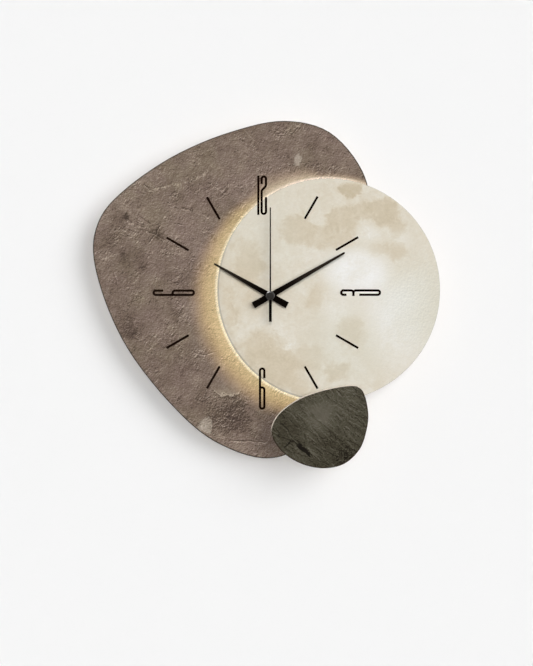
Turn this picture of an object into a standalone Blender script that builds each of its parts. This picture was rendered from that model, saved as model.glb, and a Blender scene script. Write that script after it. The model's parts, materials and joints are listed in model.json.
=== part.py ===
"""LED wall clock: a stone-printed back board, a lit moon disc, a slate pebble and a quartz movement.

Every shape is drawn in the face frame: X to the right, Y up, Z from the wall towards the viewer.
The face frame's origin lies on the wall, straight behind the axis of the hands. An empty then
stands that frame upright, so that the wall is the plane y = 0 and the nail is the world's origin.
All lengths are in metres and all angles in degrees.
"""

import math

import bmesh
import bpy
from mathutils import Matrix, Vector

for old in list(bpy.data.objects):
    bpy.data.objects.remove(old, do_unlink=True)

# Fits shared by the whole clock
SEAT_GAP = 0.0003
PIVOT_CLEARANCE = 0.0001
TUBE_CLEARANCE = 0.0001
SCREW_CLEARANCE = 0.0002

# How far fused shapes run into each other, and how far cutters run past what they cut
FUSE_LAP = 0.0005
THIN_LAP = 0.0001
CUT_OVERRUN = 0.0010

# Back board, as seen from the front, measured from the hands' axis
BACK_BOARD_WIDTH = 0.3200
BACK_BOARD_HEIGHT = 0.3892
BACK_BOARD_THICKNESS = 0.0050
BACK_BOARD_LEFT_OF_AXIS = 0.2047
BACK_BOARD_BELOW_AXIS = 0.1873

# Moon disc
MOON_DIAMETER = 0.2558
MOON_THICKNESS = 0.0050
MOON_RIGHT_OF_AXIS = 0.0670
MOON_ABOVE_AXIS = 0.0067

# Carrier that holds the moon off the back board and wears the light tape on its rim
CARRIER_THICKNESS = 0.0120
CARRIER_BEHIND_MOON_RIM = 0.0092
CARRIER_BEHIND_BOARD_EDGE = 0.0120
CARRIER_NUT_ROOM_RADIUS = 0.0120

# Light tape and its chips
TAPE_THICKNESS = 0.0004
TAPE_WIDTH = 0.0080
TAPE_END_MARGIN = 6.0
CHIP_PITCH = 0.0167
CHIP_LENGTH = 0.0028
CHIP_WIDTH = 0.0035
CHIP_HEIGHT = 0.0008

# Slate pebble in front of the moon's lower rim
PEBBLE_WIDTH = 0.1117
PEBBLE_HEIGHT = 0.0953
PEBBLE_THICKNESS = 0.0050
PEBBLE_LEFT_OF_MOON_CENTRE = 0.0105
PEBBLE_LAP_OVER_MOON = 0.0185
PEBBLE_SPACER_THICKNESS = 0.0025
PEBBLE_SPACER_WIDTH = 0.0260
PEBBLE_SPACER_HEIGHT = 0.0075
PEBBLE_SPACER_RIGHT_OF_PEBBLE = 0.0200
PEBBLE_SPACER_ABOVE_RIM = 0.0025
STANDOFF_SIDE = 0.0180
SPACER_CORNER = 0.0020
STANDOFF_LEFT_OF_PEBBLE = 0.0340
STANDOFF_BELOW_MOON_RIM = 0.0180

# Hands
HAND_THICKNESS = 0.0008
HOUR_HAND_LENGTH = 0.0747
HOUR_HAND_TAIL = 0.0224
HOUR_HAND_TAIL_WIDTH = 0.0076
HOUR_HAND_TIP_WIDTH = 0.0021
HOUR_HAND_ANGLE = 60.4
MINUTE_HAND_LENGTH = 0.0990
MINUTE_HAND_TAIL = 0.0226
MINUTE_HAND_TAIL_WIDTH = 0.0077
MINUTE_HAND_TIP_WIDTH = 0.0023
MINUTE_HAND_ANGLE = -60.0
SECOND_HAND_LENGTH = 0.1011
SECOND_HAND_TAIL = 0.0300
SECOND_HAND_TAIL_WIDTH = 0.0033
SECOND_HAND_HUB_WIDTH = 0.0018
SECOND_HAND_TIP_WIDTH = 0.0013
HUB_WALL = 0.0016
HAND_SPACING = 0.0014
CAP_RADIUS = 0.00525
CAP_THICKNESS = 0.0016

# Going train: rotor, fifth wheel, seconds wheel, third wheel, centre wheel
ROTOR_PINION_TEETH = 6
FIFTH_WHEEL_TEETH = 36
FIFTH_PINION_TEETH = 6
SECONDS_WHEEL_TEETH = 30
SECONDS_PINION_TEETH = 6
THIRD_WHEEL_TEETH = 48
THIRD_PINION_TEETH = 6
CENTRE_WHEEL_TEETH = 45
ROTOR_MODULE = 0.00030
SECONDS_MODULE = 0.00040
THIRD_MODULE = 0.00038
FIFTH_BEARING = 170.0
ROTOR_BEARING = 120.0
THIRD_BEARING = 60.0

# Motion work: cannon pinion, motion wheel, hour wheel, setting knob
CANNON_PINION_TEETH = 10
MOTION_WHEEL_TEETH = 30
MOTION_PINION_TEETH = 8
HOUR_WHEEL_TEETH = 32
KNOB_PINION_TEETH = 10
MOTION_MODULE = 0.00042
MOTION_BEARING = 0.0
KNOB_BEARING = 0.0

# Tooth form, as shares of the module and of the pitch
TOOTH_ADDENDUM = 0.75
TOOTH_DEDENDUM = 1.15
TOOTH_ROOT_SHARE = 0.50
TOOTH_TIP_SHARE = 0.20

# Thicknesses and radii inside the movement
WHEEL_THICKNESS = 0.0009
LAYER_GAP = 0.0005
BRIDGE_THICKNESS = 0.0010
PIVOT_RADIUS = 0.0004
PIVOT_DEPTH = 0.0005
STUD_RADIUS = 0.0007
SECOND_ARBOR_RADIUS = 0.0005
MINUTE_TUBE_RADIUS = 0.00145
HOUR_TUBE_RADIUS = 0.0024
BUSH_RADIUS = 0.0038
BUSH_PROUD = 0.0008
BUSH_EDGE = 0.0005
BUSH_FLANGE_RADIUS = 0.0058
BUSH_FLANGE_THICKNESS = 0.0007
MAGNET_RADIUS = 0.0026
KNOB_SHAFT_RADIUS = 0.0012
KNOB_HEAD_RADIUS = 0.0055
KNOB_HEAD_THICKNESS = 0.0022
KNOB_GRIPS = 18
KNOB_GRIP_DEPTH = 0.0006

# Movement case
CASE_WALL = 0.0015
CASE_PLATE = 0.0014
CASE_COVER = 0.0014
CASE_CORNER = 0.0030
CASE_ROOM = 0.0006
CASE_POST_RADIUS = 0.0019
COVER_SCREW_RADIUS = 0.0008
COVER_SCREW_LENGTH = 0.0060
COVER_SCREW_HEAD_RADIUS = 0.0016
COVER_SCREW_HEAD_HEIGHT = 0.0010
BRIDGE_POST_RADIUS = 0.0015
BRIDGE_EDGE = 0.0030
BRIDGE_ABOVE_THIRD = 0.0065

# Drive coil and stator
COIL_RADIUS = 0.0036
COIL_FLANGE_RADIUS = 0.0042
COIL_FLANGE_THICKNESS = 0.0008
COIL_LENGTH = 0.0160
COIL_LEFT_OF_AXIS = 0.0125
STATOR_LIMB = 0.0028
STATOR_GAP = 0.0005
STATOR_NECK = 0.0006

# Movement circuit and its crystal
CIRCUIT_WIDTH = 0.0090
CIRCUIT_HEIGHT = 0.0150
CIRCUIT_THICKNESS = 0.0008
CRYSTAL_RADIUS = 0.0010
CRYSTAL_LENGTH = 0.0060

# Dry cell and its contacts
CELL_LENGTH = 0.0492
CELL_RADIUS = 0.00725
CELL_NUB_LENGTH = 0.0013
CELL_NUB_RADIUS = 0.00275
CELL_CLEARANCE = 0.0003
CELL_EDGE = 0.0006
CONTACT_THICKNESS = 0.0004
CONTACT_HEIGHT = 0.0100
CONTACT_GAP = 0.0004

# Fixing of the movement
GASKET_THICKNESS = 0.0010
GASKET_RADIUS = 0.0120
WASHER_RADIUS = 0.0085
WASHER_THICKNESS = 0.0008
NUT_ACROSS_FLATS = 0.0110
NUT_THICKNESS = 0.0024

# Wall side: nail, hanger and bumpers
WALL_CLEARANCE = 0.0010
NAIL_ABOVE_AXIS = 0.1350
HANGER_LENGTH = 0.0520
HANGER_HEIGHT = 0.0140
HANGER_SHEET = 0.0010
HANGER_RISE = 0.0042
HANGER_RAISED_LENGTH = 0.0280
HANGER_RAMP = 0.0030
HANGER_SLOT_LENGTH = 0.0210
HANGER_SLOT_HEIGHT = 0.0068
HANGER_TOP_BAND = 0.0035
HANGER_TOOTH = 0.0008
HANGER_TEETH = 7
HANGER_SCREW_INSET = 0.0050
BUMPER_RADIUS = 0.0085
BUMPER_EASE = 0.0010
BUMPER_PLACES = {"upper_left": (0.19, 0.72), "upper_right": (0.86, 0.86),
                 "lower_left": (0.375, 0.175), "lower_right": (0.67, 0.10)}

# Wood screws
WOOD_SCREW_RADIUS = 0.0016
WOOD_SCREW_HEAD_RADIUS = 0.0032
WOOD_SCREW_HEAD_HEIGHT = 0.0012
CARRIER_SCREW_LENGTH = 0.0130
HANGER_SCREW_LENGTH = 0.0050
CARRIER_SCREW_BEHIND_RIM = 0.0110
CARRIER_RIM_SCREWS = {"top": 95.0, "left": 165.0, "bottom": 245.0}
CARRIER_FIELD_SCREW = (0.8975, 0.55)

# Light control case on the back of the board
LIGHT_CASE_PLACE = (0.377, 0.2705)
LIGHT_CASE_WIDTH = 0.0760
LIGHT_CASE_HEIGHT = 0.0440
LIGHT_CASE_DEPTH = 0.0115
LIGHT_CASE_WALL = 0.0015
LIGHT_CASE_CORNER = 0.0030
LIGHT_CASE_LID = 0.0015
LIGHT_CASE_POST_RADIUS = 0.0026
LIGHT_CASE_SCREW_LENGTH = 0.0060
LIGHT_BOARD_LENGTH = 0.0350
LIGHT_BOARD_HEIGHT = 0.0280
LIGHT_BOARD_THICKNESS = 0.0012
LIGHT_BOARD_FROM_WALL = 0.0035
LIGHT_BOARD_PEG = 0.0015
LIGHT_BOARD_PEG_RADIUS = 0.0015
LIGHT_PEG_LEFT_INSET = 0.0060
LIGHT_PEG_RIGHT_INSET = 0.0040
LIGHT_PEG_ROWS_APART = 0.0196
LITHIUM_LENGTH = 0.0290
LITHIUM_HEIGHT = 0.0280
LITHIUM_THICKNESS = 0.0056
LITHIUM_FROM_BOARD = 0.0012
INLET_ABOVE_CENTRE = 0.0075
INLET_WIDTH = 0.0090
INLET_HEIGHT = 0.0032
INLET_LENGTH = 0.0085
INLET_WALL = 0.0003
INLET_MOUTH_DEPTH = 0.0062
INLET_TONGUE_WIDTH = 0.0066
INLET_TONGUE_HEIGHT = 0.0007
INLET_TONGUE_INSET = 0.0008
BUTTON_BELOW_CENTRE = 0.0070
BUTTON_RADIUS = 0.0028
BUTTON_PROUD = 0.0015
BUTTON_FLANGE_RADIUS = 0.0038
BUTTON_FLANGE_THICKNESS = 0.0009
BUTTON_TRAVEL = 0.0007
BUTTON_CLEARANCE = 0.0002
SWITCH_SIDE = 0.0060
SWITCH_LENGTH = 0.0035
SWITCH_STEM_RADIUS = 0.0010
LAMP_RADIUS = 0.0011
LAMP_LENGTH = 0.0030

# Two-core lead from the control case to the tape
LEAD_RADIUS = 0.0009
LEAD_HOLE_RADIUS = 0.0015
LEAD_STATION = 0.0022
LEAD_SOLDER_INSET = 0.0040
LEAD_PAST_BOARD = 0.0030
LEAD_STRAIGHT = 0.0040
LEAD_SAG = 0.0004
LEAD_BEND_ASIDE = 0.0015
LEAD_BEND_RISE = 0.0035
LEAD_PAST_HOLE = 0.0012
LEAD_DIP = 0.0010
LEAD_FROM_RIM = 0.0004
GROMMET_BEARING = 215.0
GROMMET_BEHIND_RIM = 0.0075
GROMMET_RADIUS = 0.0030
GROMMET_LIP_RADIUS = 0.0042
GROMMET_LIP_THICKNESS = 0.0008
NOTCH_WIDTH = 0.0110

# Smoothness
ROUND_STEPS = 28
FINE_STEPS = 20
PIVOT_STEPS = 12
DISC_STEPS = 96
OUTLINE_STEPS = 6

# Outlines as shares of width and height, from the lower left corner of the outline's box
BACK_BOARD_OUTLINE = [
    (0.693, 1.000), (0.495, 0.967), (0.282, 0.892), (0.103, 0.788), (0.030, 0.719), (0.000, 0.631),
    (0.030, 0.498), (0.126, 0.323), (0.302, 0.142), (0.438, 0.050), (0.610, 0.000), (0.711, 0.017),
    (0.787, 0.099), (0.884, 0.303), (0.969, 0.543), (1.000, 0.741), (0.972, 0.851), (0.852, 0.967)]
PEBBLE_OUTLINE = [
    (1.000, 0.651), (0.944, 0.926), (0.870, 0.995), (0.774, 0.998), (0.506, 0.935), (0.268, 0.828),
    (0.058, 0.630), (0.000, 0.446), (0.100, 0.219), (0.294, 0.063), (0.527, 0.000), (0.748, 0.050),
    (0.908, 0.222), (0.975, 0.420)]

CLOCK = bpy.data.collections.new("led_wall_clock")
CUTTERS = bpy.data.collections.new("cutters")


# Plane geometry

def polar(radius, bearing, centre=(0.0, 0.0)):
    """Point at a radius and a bearing in degrees, anticlockwise from the right."""
    angle = math.radians(bearing)
    return (centre[0] + radius * math.cos(angle), centre[1] + radius * math.sin(angle))


def arc(centre, radius, start, end, steps):
    """Points along an arc, both ends included."""
    return [polar(radius, start + (end - start) * i / steps, centre) for i in range(steps + 1)]


def distance(a, b):
    """Distance between two points of the plane."""
    return math.hypot(b[0] - a[0], b[1] - a[1])


def bearing_of(a, b):
    """Bearing in degrees of point b as seen from point a."""
    return math.degrees(math.atan2(b[1] - a[1], b[0] - a[0]))


def smooth_loop(points, steps=OUTLINE_STEPS):
    """Closed curve through the points, with centripetal tangents."""
    count = len(points)
    corners = [Vector(point) for point in points]
    curve = []
    for i in range(count):
        before, here, there, after = (corners[(i + k) % count] for k in (-1, 0, 1, 2))
        d1 = math.sqrt((here - before).length)
        d2 = math.sqrt((there - here).length)
        d3 = math.sqrt((after - there).length)
        leave = d2 * ((here - before) / d1 - (there - before) / (d1 + d2) + (there - here) / d2)
        arrive = d2 * ((there - here) / d2 - (after - here) / (d2 + d3) + (after - there) / d3)
        for step in range(steps):
            t = step / steps
            point = here * (2 * t**3 - 3 * t**2 + 1) + leave * (t**3 - 2 * t**2 + t)
            point += there * (3 * t**2 - 2 * t**3) + arrive * (t**3 - t**2)
            curve.append(point)
    return curve


def sized_outline(shares, left, bottom, width, height):
    """Smooth closed outline whose key points are shares of a box."""
    loop = smooth_loop([Vector((left + u * width, bottom + v * height)) for u, v in shares])
    return [(point.x, point.y) for point in loop]


def inset_outline(outline, inset):
    """Outline moved inwards by one distance along its normals."""
    count = len(outline)
    turn = sum(a[0] * b[1] - b[0] * a[1] for a, b in zip(outline, outline[1:] + outline[:1]))
    side = inset if turn > 0 else -inset
    moved = []
    for i, (x, y) in enumerate(outline):
        ahead, behind = outline[(i + 1) % count], outline[i - 1]
        length = distance(behind, ahead)
        moved.append((x - side * (ahead[1] - behind[1]) / length,
                      y + side * (ahead[0] - behind[0]) / length))
    return moved


def inside_outline(point, outline):
    """Whether a point lies inside a closed outline."""
    inside = False
    for (x1, y1), (x2, y2) in zip(outline, outline[1:] + outline[:1]):
        if (y1 > point[1]) != (y2 > point[1]):
            if point[0] < x1 + (point[1] - y1) * (x2 - x1) / (y2 - y1):
                inside = not inside
    return inside


def stroke(path, width):
    """Outline of a stroke of one width along a path, with mitred bends and blunt ends."""
    left, right = [], []
    for i, (x, y) in enumerate(path):
        ahead = Vector(path[min(i + 1, len(path) - 1)]) - Vector((x, y))
        behind = Vector((x, y)) - Vector(path[max(i - 1, 0)])
        if ahead.length == 0.0:
            ahead = behind
        if behind.length == 0.0:
            behind = ahead
        along = (ahead.normalized() + behind.normalized()).normalized()
        reach = 0.5 * width / max(along.dot(ahead.normalized()), 0.5)
        left.append((x - along.y * reach, y + along.x * reach))
        right.append((x + along.y * reach, y - along.x * reach))
    return left + right[::-1]


def rounded_box_outline(left, bottom, right, top, radius, steps=4):
    """Outline of a rectangle with round corners."""
    corners = [((right - radius, bottom + radius), -90.0), ((right - radius, top - radius), 0.0),
               ((left + radius, top - radius), 90.0), ((left + radius, bottom + radius), 180.0)]
    points = []
    for centre, start in corners:
        points += arc(centre, radius, start, start + 90.0, steps)
    return points


def gear_outline(teeth, module, centre, bearing, gap_first):
    """Outline of a toothed wheel whose tooth, or gap, points along a bearing."""
    pitch = 360.0 / teeth
    pitch_radius = 0.5 * teeth * module
    root = pitch_radius - TOOTH_DEDENDUM * module
    tip = pitch_radius + TOOTH_ADDENDUM * module
    first = bearing + (0.5 * pitch if gap_first else 0.0)
    half_root = 0.5 * pitch * TOOTH_ROOT_SHARE
    half_tip = 0.5 * pitch * TOOTH_TIP_SHARE
    points = []
    for tooth in range(teeth):
        middle = first + tooth * pitch
        points += [polar(root, middle - half_root, centre), polar(tip, middle - half_tip, centre),
                   polar(tip, middle + half_tip, centre), polar(root, middle + half_root, centre)]
    return points


def tip_radius(teeth, module):
    """Outer radius of a toothed wheel."""
    return module * (0.5 * teeth + TOOTH_ADDENDUM)


# Solids

def new_solid(mesh, name="solid"):
    """Object for a mesh, in the clock's collection."""
    solid = bpy.data.objects.new(name, mesh)
    CLOCK.objects.link(solid)
    return solid


def tidy(mesh, weld=0.000001):
    """Weld a mesh's coincident points and turn its faces outwards."""
    work = bmesh.new()
    work.from_mesh(mesh)
    bmesh.ops.remove_doubles(work, verts=work.verts, dist=weld)
    bmesh.ops.recalc_face_normals(work, faces=work.faces)
    work.to_mesh(mesh)
    work.free()


def evaluated_mesh(source):
    """New mesh with an object's modifiers or curve shape worked in."""
    bpy.context.view_layer.update()
    graph = bpy.context.evaluated_depsgraph_get()
    return bpy.data.meshes.new_from_object(source.evaluated_get(graph))


def replace_by_mesh(source):
    """Turn a curve object into a mesh object in the same place."""
    mesh = evaluated_mesh(source)
    mesh.transform(source.matrix_world)
    bpy.data.objects.remove(source, do_unlink=True)
    tidy(mesh)
    return new_solid(mesh)


def prism(outlines, low, high):
    """Flat outline, with any holes as further outlines, from one height to another."""
    shape = bpy.data.curves.new("outline", "CURVE")
    shape.dimensions = "2D"
    shape.fill_mode = "BOTH"
    shape.extrude = 0.5 * (high - low)
    for outline in outlines:
        spline = shape.splines.new("POLY")
        spline.points.add(len(outline) - 1)
        for point, (x, y) in zip(spline.points, outline):
            point.co = (x, y, 0.0, 1.0)
        spline.use_cyclic_u = True
    flat = bpy.data.objects.new("outline", shape)
    CLOCK.objects.link(flat)
    flat.location.z = 0.5 * (high + low)
    bpy.context.view_layer.update()
    return replace_by_mesh(flat)


def cylinder(radius, low, high, centre=(0.0, 0.0), steps=FINE_STEPS, top_radius=None):
    """Upright cylinder or cone frustum between two heights."""
    work = bmesh.new()
    place = Matrix.Translation((centre[0], centre[1], 0.5 * (low + high)))
    bmesh.ops.create_cone(work, cap_ends=True, segments=steps, radius1=radius,
                          radius2=radius if top_radius is None else top_radius,
                          depth=high - low, matrix=place)
    mesh = bpy.data.meshes.new("cylinder")
    work.to_mesh(mesh)
    work.free()
    return new_solid(mesh)


def box(low, high):
    """Box between two corners."""
    work = bmesh.new()
    size = Matrix.Diagonal([b - a for a, b in zip(low, high)] + [1.0])
    middle = Matrix.Translation([0.5 * (a + b) for a, b in zip(low, high)])
    bmesh.ops.create_cube(work, size=1.0, matrix=middle @ size)
    mesh = bpy.data.meshes.new("box")
    work.to_mesh(mesh)
    work.free()
    return new_solid(mesh)


def turned(profile, steps=ROUND_STEPS):
    """Profile of radius and height pairs, down its outer side, turned about the Z axis."""
    mesh = bpy.data.meshes.new("profile")
    count = len(profile)
    closed = profile[0][0] > 0.0 and profile[-1][0] > 0.0
    edges = [(i, i + 1) for i in range(count - 1)] + ([(count - 1, 0)] if closed else [])
    mesh.from_pydata([(radius, 0.0, height) for radius, height in profile], edges, [])
    blank = new_solid(mesh)
    screw = blank.modifiers.new("Turn", "SCREW")
    screw.steps = steps
    screw.render_steps = steps
    screw.use_merge_vertices = True
    screw.merge_threshold = 0.00001
    result = evaluated_mesh(blank)
    bpy.data.objects.remove(blank, do_unlink=True)
    tidy(result)
    return new_solid(result)


def moved(solid, matrix):
    """Apply a move, turn or swap of axes to a solid's mesh."""
    solid.data.transform(matrix)
    tidy(solid.data)
    return solid


def along_x(solid, centre):
    """Lay an upright solid along X and take it to a point."""
    return moved(solid, Matrix.Translation(centre) @ Matrix.Rotation(math.radians(90.0), 4, "Y"))


def combine(solid, tool, operation):
    """Cut a solid with a tool, fuse them or keep what they share; the tool is used up."""
    CLOCK.objects.unlink(tool)
    CUTTERS.objects.link(tool)
    tool.hide_render = True
    tool.display_type = "WIRE"
    step = solid.modifiers.new("Combine", "BOOLEAN")
    step.operation = operation
    step.solver = "EXACT"
    step.object = tool
    mesh = evaluated_mesh(solid)
    solid.modifiers.clear()
    solid.data = mesh
    bpy.data.objects.remove(tool, do_unlink=True)
    return solid


def cut(solid, *tools):
    """Cut each tool from a solid."""
    for tool in tools:
        combine(solid, tool, "DIFFERENCE")
    return solid


def drill(solid, radius, low, high, centre=(0.0, 0.0), steps=PIVOT_STEPS):
    """Round hole right through whatever lies between two heights."""
    return cut(solid, cylinder(radius, low - CUT_OVERRUN, high + CUT_OVERRUN, centre, steps))


def drill_from_back(solid, radius, back, end, centre):
    """Blind round hole from a back face to the height where it ends."""
    return cut(solid, cylinder(radius, back - CUT_OVERRUN, end, centre, PIVOT_STEPS))


def drill_from_front(solid, radius, front, end, centre):
    """Blind round hole from a front face to the height where it ends."""
    return cut(solid, cylinder(radius, end, front + CUT_OVERRUN, centre, PIVOT_STEPS))


def fuse(solid, *others):
    """Fuse solids that overlap into one body."""
    for other in others:
        combine(solid, other, "UNION")
    return solid


def ring(outer, inner, low, high, centre=(0.0, 0.0), steps=FINE_STEPS):
    """Flat or long ring with a round bore."""
    return prism([arc(centre, outer, 0.0, 360.0, steps)[:-1], arc(centre, inner, 0.0, 360.0, steps)[:-1]],
                 low, high)


def screw_solid(head_radius, head_height, radius, length, centre, head_low, towards=1.0):
    """Screw whose head starts at one height and whose shank runs towards plus or minus Z."""
    head_far = head_low + towards * head_height
    shank_near = head_far - towards * 0.5 * head_height
    shank_far = head_far + towards * length
    head = cylinder(head_radius, min(head_low, head_far), max(head_low, head_far), centre, PIVOT_STEPS)
    shank = cylinder(radius, min(shank_near, shank_far), max(shank_near, shank_far), centre, PIVOT_STEPS)
    return fuse(head, shank)


# Materials

def finish_of(name, colour, roughness, metallic=0.0):
    """Principled material of one colour."""
    material = bpy.data.materials.get(name)
    if material is None:
        material = bpy.data.materials.new(name)
        material.use_nodes = True
        shader = material.node_tree.nodes["Principled BSDF"]
        shader.inputs["Base Color"].default_value = (*colour, 1.0)
        shader.inputs["Roughness"].default_value = roughness
        shader.inputs["Metallic"].default_value = metallic
        material.diffuse_color = (*colour, 1.0)
    return material


def finishes():
    """The clock's finishes by name."""
    table = {
        "stone_print": ((0.16, 0.13, 0.11), 0.85, 0.0),
        "moon_print": ((0.68, 0.62, 0.52), 0.55, 0.0),
        "slate_print": ((0.055, 0.055, 0.045), 0.75, 0.0),
        "fibreboard": ((0.36, 0.25, 0.15), 0.80, 0.0),
        "white_foam": ((0.80, 0.79, 0.76), 0.70, 0.0),
        "hand_paint": ((0.010, 0.010, 0.011), 0.35, 0.0),
        "cap_paint": ((0.030, 0.029, 0.032), 0.30, 0.0),
        "black_plastic": ((0.015, 0.015, 0.016), 0.50, 0.0),
        "grey_plastic": ((0.30, 0.30, 0.30), 0.50, 0.0),
        "white_plastic": ((0.75, 0.75, 0.73), 0.45, 0.0),
        "gear_plastic": ((0.62, 0.60, 0.54), 0.45, 0.0),
        "brass": ((0.62, 0.45, 0.18), 0.30, 1.0),
        "steel": ((0.50, 0.50, 0.50), 0.35, 1.0),
        "magnet": ((0.10, 0.10, 0.11), 0.40, 1.0),
        "copper_winding": ((0.50, 0.16, 0.07), 0.35, 1.0),
        "circuit_green": ((0.02, 0.14, 0.06), 0.50, 0.0),
        "tape_white": ((0.82, 0.80, 0.74), 0.55, 0.0),
        "rubber": ((0.04, 0.04, 0.04), 0.85, 0.0),
        "cell_jacket": ((0.10, 0.22, 0.12), 0.40, 0.0),
        "pouch_foil": ((0.55, 0.56, 0.58), 0.35, 0.6),
        "lead_jacket": ((0.60, 0.05, 0.04), 0.55, 0.0),
        "lamp_lens": ((0.85, 0.20, 0.10), 0.20, 0.0)}
    return {name: finish_of(name, *values) for name, values in table.items()}


FINISH = finishes()
FACE = bpy.data.objects.new("face_frame", None)


def sub_part(name, solid, finish, pivot=(0.0, 0.0, 0.0)):
    """Name a solid, set its origin and finish, and hang it in the face frame."""
    solid.data.transform(Matrix.Translation([-value for value in pivot]))
    solid.name = name
    solid.data.name = name
    solid.data.materials.clear()
    solid.data.materials.append(FINISH[finish])
    solid.data.shade_smooth()
    solid.data.set_sharp_from_angle(angle=math.radians(35.0))
    solid.parent = FACE
    solid.location = pivot
    return solid


# Heights above the wall, from the back of the knob to the hands

class Stack:
    """Heights above the wall of every layer of the clock."""

    def __init__(self):
        layers = ("hour", "motion", "centre", "bridge", "third", "seconds", "fifth")
        depth = LAYER_GAP
        below_ceiling = {}
        for layer in layers:
            thickness = BRIDGE_THICKNESS if layer == "bridge" else WHEEL_THICKNESS
            below_ceiling[layer] = (depth, depth + thickness)
            depth += thickness + LAYER_GAP
        cell_room = 2.0 * (CELL_RADIUS + CELL_CLEARANCE) - CASE_COVER
        coil_room = (sum(below_ceiling["seconds"]) / 2.0) + COIL_FLANGE_RADIUS + CASE_ROOM
        self.inner_depth = max(depth, cell_room, coil_room)
        self.case_back = WALL_CLEARANCE + KNOB_HEAD_THICKNESS + SEAT_GAP
        self.cover_inner = self.case_back + CASE_COVER
        self.ceiling = self.cover_inner + self.inner_depth
        self.case_front = self.ceiling + CASE_PLATE
        self.layer = {name: (self.ceiling - far, self.ceiling - near)
                      for name, (near, far) in below_ceiling.items()}
        self.board_back = self.case_front + GASKET_THICKNESS + 2.0 * SEAT_GAP
        self.board_front = self.board_back + BACK_BOARD_THICKNESS
        self.carrier_back = self.board_front + SEAT_GAP
        self.carrier_front = self.carrier_back + CARRIER_THICKNESS
        self.moon_back = self.carrier_front + SEAT_GAP
        self.moon_front = self.moon_back + MOON_THICKNESS
        self.pebble_back = self.moon_front + PEBBLE_SPACER_THICKNESS + 2.0 * SEAT_GAP
        self.pebble_front = self.pebble_back + PEBBLE_THICKNESS
        self.bush_front = self.moon_front + BUSH_PROUD
        self.hour_hand = self.bush_front + HAND_SPACING
        self.hour_tube_front = self.hour_hand + HAND_THICKNESS + SEAT_GAP
        self.minute_hand = self.hour_hand + HAND_THICKNESS + HAND_SPACING
        self.minute_tube_front = self.minute_hand + HAND_THICKNESS + SEAT_GAP
        self.second_hand = self.minute_hand + HAND_THICKNESS + HAND_SPACING
        self.cap_back = self.second_hand + HAND_THICKNESS + SEAT_GAP
        self.cap_front = self.cap_back + CAP_THICKNESS


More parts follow.
